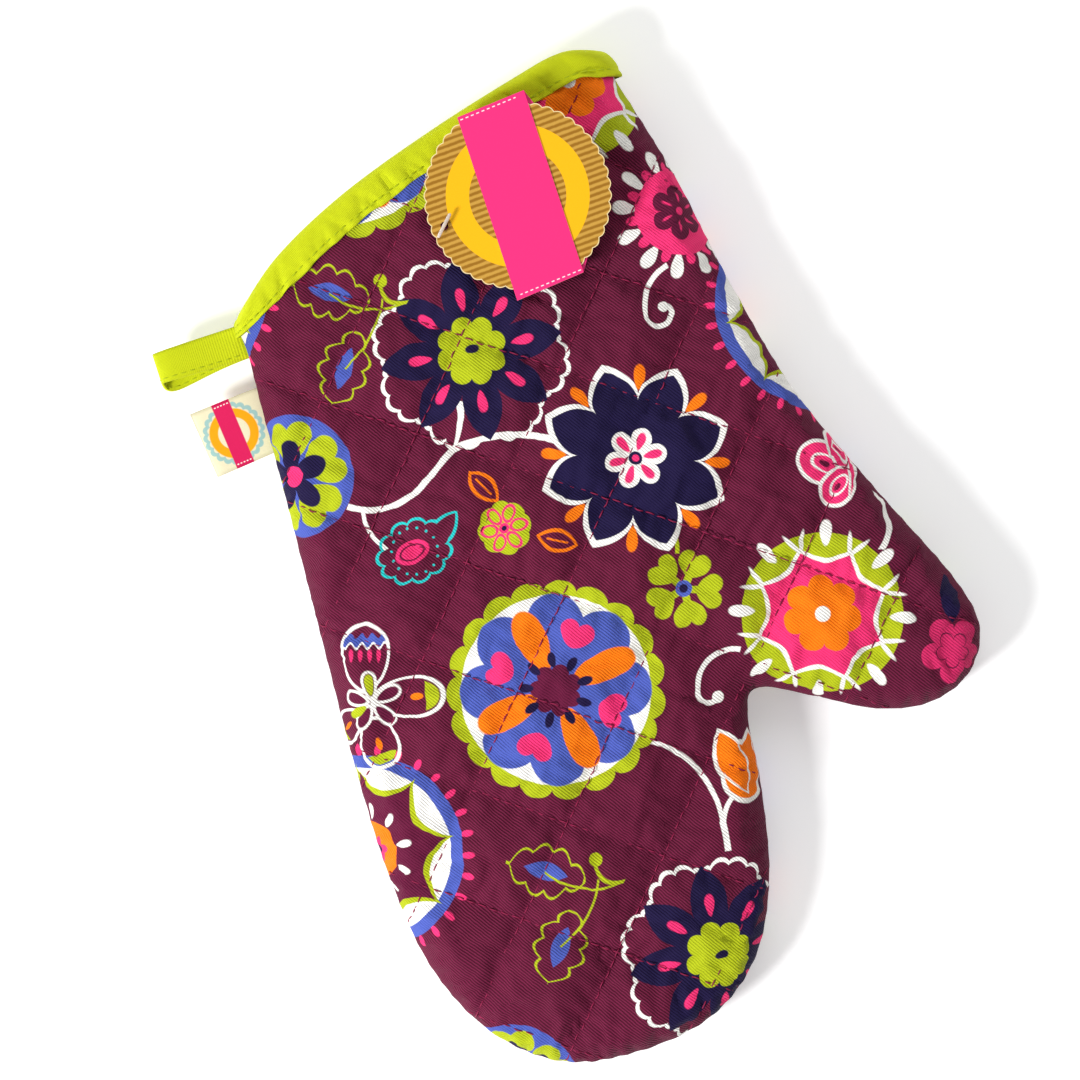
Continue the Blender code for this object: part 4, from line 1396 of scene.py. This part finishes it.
    def big_flower(self, x, y, upper):
        """A large flower: lime scallops, blue and pink hearts, orange petals."""
        s, lay = self.spot(x, y, upper=upper), self.paint.lay
        lay(s.lobes(19, 36.6, 40.4, 0, 0.5), LIME)
        lay(s.disc(35.0), WHITE)
        petal = s.fold(4, 58)
        lay(petal.heart(20.2, 25.8), BLUE)
        lay(petal.heart(22.0, 8.4), PINK)
        lay(s.fold(4, 104).oval(19.5, 12.2, 5.6, 0.2), ORANGE)
        lay(s.lobes(7, 7.4, 9.8, 12, 0.7), PLUM)
        lay(s.fold(9, 5).oval(11.2, 2.9, 1.6), NAVY)

    def butterfly(self, x, y):
        """A white line drawing: a tall and a wide wing above, two small lime-edged wings below."""
        s, lay = self.spot(x, y), self.paint.lay
        upper, side = s.at(0.6, 16.5, 80), s.at(13.3, -1.2, -6)
        lay(line_of(upper.oval(0.0, 12.4, 8.6, 0.15), 1.0), WHITE)
        wave = Number.make("SINE", upper.y * 1.5)
        lay(high(abs(upper.x - wave - 6.2) - 1.9, upper.oval(0.0, 12.0, 8.2, 0.15)), BLUE)
        lay(high(line_of(upper.x - wave - 4.2, 0.9), upper.oval(0.0, 12.0, 8.2, 0.15)), WHITE)
        for across in (-5.0, -1.7, 1.7, 5.0):
            lay(upper.at(0.6, across).oval(0.0, 2.3, 0.8, 0.3), PINK)
        lay(line_of(side.oval(0.0, 13.0, 7.2, 0.2), 1.0), WHITE)
        lay(high(side.oval(0.0, 11.6, 5.8, 0.2), 6.4 - side.x), LIME)
        lay(side.at(3.0, 0).oval(0.0, 2.4, 1.3), ORANGE)
        for dx, dy, turn, along, across in ((-1.0, -15.2, -86, 9.6, 7.2), (-13, -7, 204, 9.0, 5.6)):
            wing = s.at(dx, dy, turn)
            lay(line_of(wing.oval(0.0, along, across, 0.2), 1.0), WHITE)
            lay(high(wing.oval(0.0, along - 1.2, across - 1.2, 0.2), along * 0.45 - wing.x), LIME)
            lay(wing.at(0.5, 0).oval(0.0, 2.4, 1.1), ORANGE)
        petal = s.fold(5, 86)
        lay(petal.oval(6.2, 5.4, 2.9, 0.25), WHITE)
        lay(petal.oval(6.4, 4.3, 1.9, 0.25), PLUM)
        for turn in (86, 202):
            lay(s.at(0, 0, turn).oval(6.4, 3.9, 1.6, 0.25), LIME)

    def pink_moth(self, x, y):
        """Three pink wings edged in white, on a white body."""
        s, lay = self.spot(x, y), self.paint.lay
        for turn, centre, along, across in ((152, 9.2, 10.6, 7.2), (92, 9.0, 8.8, 5.0), (218, 7.0, 7.8, 5.2)):
            wing = s.at(0, 0, turn)
            lay(wing.oval(centre, along + 1.3, across + 1.3, 0.2), WHITE)
            lay(wing.oval(centre, along, across, 0.2), PINK)
            lay(line_of(wing.oval(centre, along * 0.55, across * 0.45, 0.2), 0.7), WHITE)
            lay(wing.oval(centre + 1.0, along * 0.2, across * 0.16), PLUM)
        lay(s.at(2.0, 1.0, 68).oval(0.0, 12.0, 2.1, 0.2), WHITE)
        lay(s.at(2.0, 1.0, 68).oval(0.0, 9.6, 0.9, 0.2), PINK)

    def tulip(self, x, y):
        """Two overlapping pointed petals on a rounded cup, outlined in white."""
        s = self.spot(x, y)
        cup = s.at(0.5, -2.5, 84).oval(0.0, 10.0, 7.6, -0.2)
        left, right = s.at(-2.8, 1.5, 104).leaf(25, 11), s.at(4.4, 0.5, 68).leaf(23, 10)
        whole = low(cup, low(left, right))
        self.paint.lay(whole - 1.4, WHITE)
        self.paint.lay(whole, ORANGE)
        self.paint.lay(high(line_of(left, 0.8), low(right, cup)), WHITE)

    def tip_flower(self, x, y):
        """A magenta flower on a navy leaf."""
        s, lay = self.spot(x, y), self.paint.lay
        lay(s.lobes(5, 7.2, 12.6, 40, 0.6), MAGENTA)
        lay(line_of(s.lobes(5, 3.4, 6.6, 40, 0.6), 0.5), PLUM)
        lay(self.spot(x + 3.5, y + 19.5).at(0, 0, 82).leaf(19.5, 8.4), NAVY)


def start_material(name):
    """A new material, its node tree and its shader."""
    made = bpy.data.materials.new(name)
    made.use_nodes = True
    Number.tree = made.node_tree
    return made, made.node_tree, made.node_tree.nodes["Principled BSDF"]


def flat_material(name):
    """A new material, its tree and shader, and the shaded point's flat place in millimetres."""
    made, tree, shader = start_material(name)
    attribute = tree.nodes.new("ShaderNodeAttribute")
    attribute.attribute_name = "flat"
    split = tree.nodes.new("ShaderNodeSeparateXYZ")
    tree.links.new(attribute.outputs["Vector"], split.inputs[0])
    return made, tree, shader, attribute.outputs["Vector"], [Number(axis) for axis in split.outputs]


def object_material(name):
    """A new material, its tree and shader, and the shaded point's place on its object."""
    made, tree, shader = start_material(name)
    place = tree.nodes.new("ShaderNodeTexCoord")
    return made, tree, shader, place.outputs["Object"]


SOCKETS = {
    "colour": "Base Color", "rough": "Roughness", "specular": "Specular IOR Level",
    "sheen": "Sheen Weight", "sheen_rough": "Sheen Roughness",
    "transmission": "Transmission Weight",
    "subsurface": "Subsurface Weight", "subsurface_radius": "Subsurface Radius",
    "glow": "Emission Strength", "glow_colour": "Emission Color",
}


def set_sockets(shader, **values):
    """Sets constants on the shader's own sockets."""
    for key, value in values.items():
        shader.inputs[SOCKETS[key]].default_value = value


def noise(tree, vector, scale, detail=2.0, rough=0.5):
    """Cloudy noise from 0 to 1."""
    node = tree.nodes.new("ShaderNodeTexNoise")
    node.inputs["Scale"].default_value = scale
    node.inputs["Detail"].default_value = detail
    node.inputs["Roughness"].default_value = rough
    tree.links.new(vector, node.inputs["Vector"])
    return Number(node.outputs["Fac"])


def shade(tree, colour, factor):
    """The colour made darker or lighter by a number about 1."""
    node = tree.nodes.new("ShaderNodeVectorMath")
    node.operation = "SCALE"
    if isinstance(colour, tuple):
        node.inputs[0].default_value = colour[:3]
    else:
        tree.links.new(colour, node.inputs[0])
    tree.links.new(factor.socket, node.inputs["Scale"])
    return node.outputs[0]


def bump(tree, shader, height, distance, strength):
    """Relief for the shader, from a height and the metres that a height of 1 stands for."""
    node = tree.nodes.new("ShaderNodeBump")
    node.inputs["Strength"].default_value = strength
    node.inputs["Distance"].default_value = distance
    tree.links.new(height.socket, node.inputs["Height"])
    tree.links.new(node.outputs[0], shader.inputs["Normal"])


def sine(value, turns, phase=0.0):
    """A wave from 0 to 1 that repeats every 1/turns of the value."""
    return Number.make("SINE", value.times_plus(2 * math.pi * turns, phase)).times_plus(0.5, 0.5)


CLOTH_SPECULAR = 0.16
CLOTH_SHEEN = 0.03

TWILL_WAY = (0.765, 0.644)
TWILL_PITCH = 0.95
FLOAT_PITCH = 1.3


def draw_stems(p):
    """The stems and curls that run between the motifs."""
    p.stem((-32, 66), (-38, 49.5), 1.0, 2.0, WHITE, 1.0)
    for places, width in (
        ([(-80.5, 36.8), (-66.5, 33.3), (-52, 38.8)], 2.2),
        ([(-52.6, 38.4), (-44.6, 44.6), (-37.4, 50.0)], 2.3),
        ([(-39, 49.2), (-16.5, 50.2), (8.7, 38.2)], 2.4),
    ):
        p.arc(*places, width, WHITE)
    for start, end, bow, width, colour in (
        ((-75.6, 34), (-69.9, 18.5), -2.0, 1.5, WHITE),
        ((11, -71), (30, -105), 6.0, 1.8, WHITE),
        ((30, -105), (30, -116), 0.0, 2.2, WHITE),
        ((41, -95), (30, -108), -3.0, 1.6, WHITE),
        ((35.7, 4), (34.4, -5), 0.0, 1.5, LIME),
        ((114.2, 3.7), (108.3, -19.1), 3.0, 2.3, WHITE),
    ):
        p.stem(start, end, bow, width, colour)
    p.curl([(52.5, 99.5), (43.2, 91.5), (41.2, 82.0), (45.4, 78.0), (50.2, 81.0), (50.7, 84.0), (48.2, 84.8)],
           1.9, WHITE, 1.9)
    p.curl([(50, -44.6), (37.5, -46.3), (32.0, -55.0), (34.6, -60.8), (38.9, -59.6)], 1.9, WHITE, 2.2)


def draw_motifs(p):
    """The flowers and butterflies, the later ones over the earlier."""
    p.banded_flower(102.5, 74)
    p.banded_flower(-100.5, -90.1, upper=(9.6, -10.8))
    p.navy_flower(-24.3, 83.4, lower=(6.8, -5.8))
    p.blue_disc(-98.5, 51.6, lower=(-3.2, -6.5))
    p.sprig(-44.4, 105.9, lower=(-3.0, 6.0))
    p.paisley(-59.9, 15.6)
    p.small_flower(-25.7, 17.1)
    p.pink_disc(61.4, 118.3)
    p.lime_ring(82.2, -37.9, upper=(-14.0, -19.0))
    p.heart_petals(34.2, -18.3)
    p.navy_star(26.6, 32.4)
    p.big_flower(-19.4, -45.1, upper=(4.0, -13.0))
    p.butterfly(-86.5, -35.5)
    p.pink_moth(103.8, 11.6)
    p.tulip(42.0, -86.5)
    p.tip_flower(126.9, -61)

def printed_cotton():
    """Plum cotton twill with the flower print, with painted shade in the twill's hollows and painted
    highlight on its ribs.
    """
    made, tree, shader, vector, (x, y, _) = flat_material("printed_cotton_twill")
    across = x.times_plus(TWILL_WAY[0], y * TWILL_WAY[1])
    along = x.times_plus(-TWILL_WAY[1], y * TWILL_WAY[0])
    drift = noise(tree, vector, 0.35, 3.0)
    rib = sine(across + drift.times_plus(0.5, 0.0), 1 / TWILL_PITCH)
    # The plum ground is painted darker in the twill's hollows and lighter on its ribs: painted shade and
    # painted highlight.
    paint = Paint(PLUM_HOLLOW_SHADE)
    paint.lay(rib.times_plus(-1.0, 0.45), PLUM_RIB_HIGHLIGHT, 0.4)
    p = Print(x, y, paint)
    draw_stems(p)
    draw_motifs(p)
    float_length = sine(along + across.times_plus(0.5, 0.0), 1 / FLOAT_PITCH)
    mottle = noise(tree, vector, 0.05, 4.0, 0.6)
    fleck = noise(tree, vector, 2.2, 2.0, 0.7)
    # The rib term lightens the ribs and darkens the hollows over the whole print: painted highlight and
    # painted shade. Mottle and fleck vary the tone at random.
    tone = rib.times_plus(0.2, mottle.times_plus(0.26, fleck.times_plus(0.2, 0.68)))
    colour = shade(tree, paint.socket, tone)
    tree.links.new(colour, shader.inputs["Base Color"])
    set_sockets(shader, rough=0.8, specular=CLOTH_SPECULAR, sheen=CLOTH_SHEEN, sheen_rough=0.45)
    bump(tree, shader, rib.times_plus(0.8, float_length * 0.15 + fleck * 0.3), 0.0003, 0.9)
    return made


def woven(name, colour, pitch, depth, contrast=0.16, blotch=0.16):
    """A plain-woven cloth in one dye, with its threads, slubs and uneven colour."""
    made, tree, shader, vector, (x, y, _) = flat_material(name)
    warp = sine(x, 1 / pitch)
    weft = sine(y, 1 / pitch)
    threads = high(warp, weft)
    slub = noise(tree, vector, 1.6, 3.0, 0.7)
    patch = noise(tree, vector, 0.12, 3.0, 0.55)
    base = patch.times_plus(blotch, 1 - contrast * 1.2 - blotch / 2)
    tone = threads.times_plus(contrast, slub.times_plus(contrast, base))
    tree.links.new(shade(tree, colour, tone), shader.inputs["Base Color"])
    set_sockets(shader, rough=0.85, specular=CLOTH_SPECULAR, sheen=CLOTH_SHEEN)
    bump(tree, shader, threads + slub * 0.8, depth, 0.8)
    return made


def thread_material(name, colour):
    """Twisted sewing thread, lighter and darker along its twist."""
    made, tree, shader, place = object_material(name)
    wave = tree.nodes.new("ShaderNodeTexWave")
    wave.inputs["Scale"].default_value = 900
    wave.inputs["Distortion"].default_value = 1.5
    tree.links.new(place, wave.inputs["Vector"])
    twist = Number(wave.outputs["Fac"])
    tone = twist.times_plus(0.35, noise(tree, place, 300).times_plus(0.5, 0.6))
    tree.links.new(shade(tree, colour, tone), shader.inputs["Base Color"])
    set_sockets(shader, rough=0.6, specular=0.25)
    bump(tree, shader, twist, 0.0001, 0.6)
    return made


def wadding_material():
    """White needled fibre."""
    made, tree, shader, vector, _ = flat_material("wadding_fibre")
    fibres = noise(tree, vector, 0.9, 6.0, 0.75)
    tree.links.new(shade(tree, FIBRE_WHITE, fibres.times_plus(0.3, 0.82)), shader.inputs["Base Color"])
    set_sockets(shader, rough=0.95, sheen=0.3)
    bump(tree, shader, fibres, 0.0006, 1.0)
    return made


# The card's printed ribs, its ring and a painted highlight along its cut rim; the band's rows of dashes.
TAG_TURN = math.radians(8.0)
CARD_SPECULAR = 0.25
CARD_RIB_PITCH = 2.2
CARD_RING = 22.1
CARD_RING_WIDTH = 8.6
CARD_HIGHLIGHT_WIDTH = 0.35
DASH_TURN = math.radians(10.5)
DASH_PITCH = 1.05
DASH_ENDS = (33.5, -34.0)
DASH_REACH = 12.9


def card_face():
    """Brown card printed with ribs and a yellow ring, with a painted highlight along its cut edge."""
    made, tree, shader, vector, (x, y, _) = flat_material("tag_card_print")
    s, c = math.sin(TAG_TURN), math.cos(TAG_TURN)
    along = x.times_plus(-s, y * c)
    grain = noise(tree, vector, 0.5, 3.0)
    rib = sine(along + grain.times_plus(0.5, -0.25), 1 / CARD_RIB_PITCH)
    paint = Paint(CARD_BROWN)
    paint.lay(rib.times_plus(-1.0, 0.5), CARD_TAN, 0.32)
    spot = Spot(x, y)
    paint.lay(line_of(spot.disc(CARD_RING), CARD_RING_WIDTH), CARD_YELLOW, 0.08)
    edge = spot.lobes(TAG_SCALLOPS, TAG_RADIUS - SCALLOP, TAG_RADIUS, math.degrees(math.pi / TAG_SCALLOPS))
    # A thin pale strip along the scalloped edge: painted highlight where the cut edge catches the light.
    paint.lay(edge.times_plus(-1.0, -CARD_HIGHLIGHT_WIDTH), CARD_RIM_HIGHLIGHT, 0.12)
    fleck = noise(tree, vector, 3.0, 2.0)
    tree.links.new(shade(tree, paint.socket, fleck.times_plus(0.12, 0.94)), shader.inputs["Base Color"])
    set_sockets(shader, rough=0.45, specular=CARD_SPECULAR)
    bump(tree, shader, rib.times_plus(0.25, fleck * 0.2), 0.0001, 0.5)
    return made


def band_face(name, colour, dashes=True):
    """Hot pink card with a row of printed white dashes near each end."""
    made, tree, shader, vector, (x, y, _) = flat_material(name)
    paint = Paint(colour)
    if dashes:
        s, c = math.sin(DASH_TURN), math.cos(DASH_TURN)
        u, v = x.times_plus(c, y * s), y.times_plus(c, x * -s)
        for centre in DASH_ENDS:
            dash = Number.make("PINGPONG", u, DASH_PITCH)
            paint.lay(high(dash - 0.52, high(abs(v - centre) - 0.17, abs(u) - DASH_REACH)), BAND_WHITE, 0.1)
    fleck = noise(tree, vector, 2.0, 3.0)
    base = paint.socket or colour
    tree.links.new(shade(tree, base, fleck.times_plus(0.06, 0.97)), shader.inputs["Base Color"])
    set_sockets(shader, rough=0.42, specular=CARD_SPECULAR)
    bump(tree, shader, fleck, 0.00003, 0.4)
    return made


def card_edge():
    """The white core of the card."""
    made, tree, shader, vector, _ = flat_material("tag_card_core")
    fibres = noise(tree, vector, 2.4, 4.0, 0.7)
    tree.links.new(shade(tree, CARD_CORE, fibres.times_plus(0.2, 0.88)), shader.inputs["Base Color"])
    set_sockets(shader, rough=0.85)
    bump(tree, shader, fibres, 0.00008, 0.6)
    return made


LABEL_RING = (-117.2, 72.5)
LABEL_PITCH = 0.42


def label_face():
    """Cream woven label with a yellow ring in a pale scalloped ring, and a plain magenta band."""
    made, tree, shader, vector, (x, y, _) = flat_material("woven_label")
    paint = Paint(LABEL_CREAM)
    spot = Spot(x - LABEL_RING[0], y - LABEL_RING[1])
    paint.lay(line_of(spot.lobes(22, 9.9, 10.9, 0, 0.7), 1.7), LABEL_GREEN)
    paint.lay(line_of(spot.r() - 7.6, 3.3), LABEL_YELLOW)
    band = spot.at(-0.6, 0.2, 101)
    paint.lay(abs(band.y) - 3.5, LABEL_MAGENTA)
    for end in (11.0, -11.6):
        dash = Number.make("PINGPONG", band.y, 0.62)
        paint.lay(high(dash - 0.3, high(abs(band.x - end) - 0.2, abs(band.y) - 3.2)), LABEL_WHITE, 0.1)
    warp, weft = sine(x + y * 0.2, 1 / LABEL_PITCH), sine(y - x * 0.2, 1 / LABEL_PITCH)
    slub = noise(tree, vector, 2.0, 3.0, 0.7)
    threads = high(warp, weft)
    tone = threads.times_plus(0.1, slub.times_plus(0.14, 0.84))
    tree.links.new(shade(tree, paint.socket, tone), shader.inputs["Base Color"])
    set_sockets(shader, rough=0.75, specular=CLOTH_SPECULAR)
    bump(tree, shader, threads + slub * 0.5, 0.00008, 0.8)
    return made


def nylon():
    """Milky clear nylon, a little uneven from its mould."""
    made, tree, shader, place = object_material("clear_nylon_milky")
    cloud = noise(tree, place, 400)
    tree.links.new(shade(tree, NYLON_MILK, cloud.times_plus(0.2, 0.9)), shader.inputs["Base Color"])
    set_sockets(shader, rough=0.32, transmission=0.25, subsurface=0.2, subsurface_radius=(MM, MM, MM))
    bump(tree, shader, cloud, 0.00005, 0.4)
    return made


def give(obj, material):
    """Gives a piece this one material."""
    obj.data.materials.clear()
    obj.data.materials.append(material)


def join(obj, body, material, slot_name, *nodes):
    """Puts a piece on its body with its look, and hides the nodes it stands for; its finish slot is not used.
    """
    give(obj, material)
    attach(obj, body)
    if nodes:
        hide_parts(*nodes)


def join_flap(obj, body, material, node):
    """Gives a flap in the side seam its look, bakes its place into its mesh and hides the node it stands for.
    """
    joint = next(j for j in frame["joints"] if j["child"] == body)
    hinge, axis = Vector(joint["pos_m"]), Vector(joint["axis"])
    give(obj, material)
    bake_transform(obj)
    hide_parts(node)


def seam_stitches(name):
    """Stitches along the side seam, deep in its groove."""
    line = (SIDE + SIDE_NORMALS * SEAM_STITCH_IN)[4:-4]
    dense, at = even_steps(line, 0.5)
    centres, ups = [], []
    for a, b in stitch_spans(at[-1], SEAM_STITCH_LONG, SEAM_STITCH_GAP):
        share = a + (b - a) * STITCH_SHARE
        plan = np.column_stack([np.interp(share, at, dense[:, k]) for k in range(2)])
        centres.append(np.column_stack([plan, np.full(len(share), SEAM_Z) + STITCH_ARCH * 0.3]) * MM)
        ups.append(np.tile([0.0, 0.0, 1.0], (len(share), 1)))
    return thread(name, centres, ups)


def lining_top(from_cuff):
    """How deep the lining's outer side lies: less near the cuff, where the wadding thins."""
    deeper = LINING_TOP - LINING_TOP_AT_CUFF
    return LINING_TOP_AT_CUFF + deeper * clamp01((from_cuff - CUFF_BAND) / WADDING_FADE)


def build_mitt():
    """Both quilted panels, layer by layer, and the stitches between them."""
    fine = plan_triangles(FINE, True)
    coarse = plan_triangles(COARSE, False)
    cotton = printed_cotton()
    lining_cloth = woven("lining_cotton_plain", LINING_CREAM, 0.6, 0.00015)
    fibre = wadding_material()
    plum_thread = thread_material("plum_sewing_thread", PLUM_THREAD)
    for word, face in (("front", 1), ("back", -1)):
        fabric = quilted_fabric(f"{word}_panel_cotton", face, *fine)
        join(fabric, "mitt", cotton, "plum_cotton", f"{word}_outer_fabric")
        wadding = inner_layer(f"{word}_panel_wadding", face, *coarse,
                              lambda c: np.full(len(c), WADDING_TOP), lambda c: lining_top(c) - LAYER_GAP,
                              VALLEY * 0.7)
        join(wadding, "mitt", fibre, "wadding_white", f"{word}_wadding")
        lining = inner_layer(f"{word}_panel_lining", face, *coarse, lining_top,
                             lambda c: lining_top(c) + LINING_THICK, 0.0)
        join(lining, "mitt", lining_cloth, "lining_cotton", f"{word}_lining")
        stitches = quilting_stitches(f"{word}_quilting_stitches", face)
        join(stitches, "mitt", plum_thread, "plum_thread", f"{word}_quilting_thread")
    seam = seam_stitches("side_seam_stitches")
    join(seam, "mitt", plum_thread, "plum_thread", "side_seam_thread")


def build_cuff():
    """The bound cuff, and the loop and label sewn into the side seam below it."""
    tape = woven("lime_tape_cotton", TAPE_LIME, 0.55, 0.00022, 0.24)
    lime_thread = thread_material("lime_sewing_thread", LIME_THREAD)
    edge = binding("cuff_binding_tape")
    join(edge, "mitt", tape, "lime_tape", "cuff_binding")
    stitches = binding_stitches("cuff_binding_stitches")
    join(stitches, "mitt", lime_thread, "lime_thread", "binding_stitching")
    grid, marks = loop_rows()
    loop = ribbon("hanging_loop_tape", grid, LOOP_THICK, marks)
    join_flap(loop, "loop", tape, "hanging_loop")
    loop_thread = loop_stitches("hanging_loop_stitches", grid)
    join_flap(loop_thread, "loop", lime_thread, "loop_stitching")
    grid, marks = label_rows()
    label = ribbon("woven_side_label", grid, LABEL_THICK, marks)
    join_flap(label, "label", label_face(), "side_label")


def paint_edges(obj, side_material):
    """The faces that stand upright take the card's core."""
    obj.data.materials.append(side_material)
    for face in obj.data.polygons:
        if abs(face.normal.z) < 0.5:
            face.material_index = 1


def build_tag():
    """The swing tag with its band on both sides, and its fastener."""
    core = card_edge()
    hole = round_hole(TAG_HOLE, HOLE_RADIUS)
    disc = flat_piece("swing_tag_disc", scalloped_edge(), CARD_BOTTOM, CARD_TOP, hole)
    join(disc, "tag", card_face(), "tag_card", "swing_tag")
    paint_edges(disc, core)
    pink = band_face("tag_band_print", BAND_PINK)
    low, high = CARD_TOP + BAND_GAP, CARD_TOP + BAND_GAP + BAND_THICK
    band = flat_piece("swing_tag_band", dense_loop(BAND_CORNERS), low, high)
    join(band, "tag", pink, "tag_card")
    paint_edges(band, core)
    tl, tr, br, bl = BAND_CORNERS
    back = np.array([tl, tr, tr + (2.6, -5.2), br + (2.7, 5.4), br, bl])
    low, high = CARD_BOTTOM - BAND_GAP - BAND_THICK, CARD_BOTTOM - BAND_GAP
    under = flat_piece("swing_tag_band_back", dense_loop(back), low, high)
    # The back ply takes a darker copy of the band's pink: painted shade where the band turns under the card.
    join(under, "tag", band_face("tag_band_back_painted_shade", BAND_BACK_SHADE_PINK, False), "tag_card")
    paint_edges(under, core)
    tee, filament = fastener("swing_tag_fastener")
    milky = nylon()
    join(tee, "fastener", milky, "clear_nylon", "tag_fastener")
    join(filament, "fastener", milky, "clear_nylon")


VIEW_CENTRE = (-13.9, 10.1)
VIEW_SPAN = 402.3
VIEW_ROLL = -11.88
VIEW_DISTANCE = 1500.0
SENSOR = 36
FLOOR_HALF = 3


def add_camera():
    """A camera straight above the mitt, rolled a little."""
    data = bpy.data.cameras.new("camera")
    data.sensor_width = SENSOR
    data.lens = SENSOR * VIEW_DISTANCE / VIEW_SPAN
    data.clip_end = 10
    camera = add_object("camera", data)
    camera.location = (VIEW_CENTRE[0] * MM, VIEW_CENTRE[1] * MM, (SEAM_Z + VIEW_DISTANCE) * MM)
    camera.rotation_euler = (0, 0, math.radians(VIEW_ROLL))
    bpy.context.scene.camera = camera


def add_light(name, place, size, power):
    """A round soft light that points at the middle of the floor."""
    data = bpy.data.lights.new(name, "AREA")
    data.shape = "DISK"
    data.size = size
    data.energy = power
    lamp = add_object(name, data)
    lamp.location = place
    lamp.rotation_mode = "QUATERNION"
    lamp.rotation_quaternion = (-Vector(place)).to_track_quat("-Z", "Y")


def add_stage():
    """A plain pale floor and soft studio light from the lower left."""
    bm = bmesh.new()
    bmesh.ops.create_grid(bm, x_segments=1, y_segments=1, size=FLOOR_HALF)
    mesh = bpy.data.meshes.new("floor")
    bm.to_mesh(mesh)
    bm.free()
    floor = add_object("floor", mesh)
    pale, _, shader = start_material("pale_floor")
    set_sockets(shader, colour=(0.9, 0.9, 0.9, 1), rough=0.9, glow_colour=(1, 1, 1, 1), glow=0.3)
    give(floor, pale)
    world = bpy.data.worlds.new("studio")
    world.use_nodes = True
    sky = world.node_tree.nodes["Background"]
    sky.inputs["Color"].default_value = (1, 1, 1, 1)
    sky.inputs["Strength"].default_value = 0.42
    bpy.context.scene.world = world
    bpy.context.scene.view_settings.view_transform = "Standard"
    add_light("key", (-1.15, -0.5, 0.95), 0.4, 30)
    add_light("fill", (0.35, 1.3, 1.1), 1.4, 10)


add_camera()
build_mitt()
build_cuff()
build_tag()
add_stage()
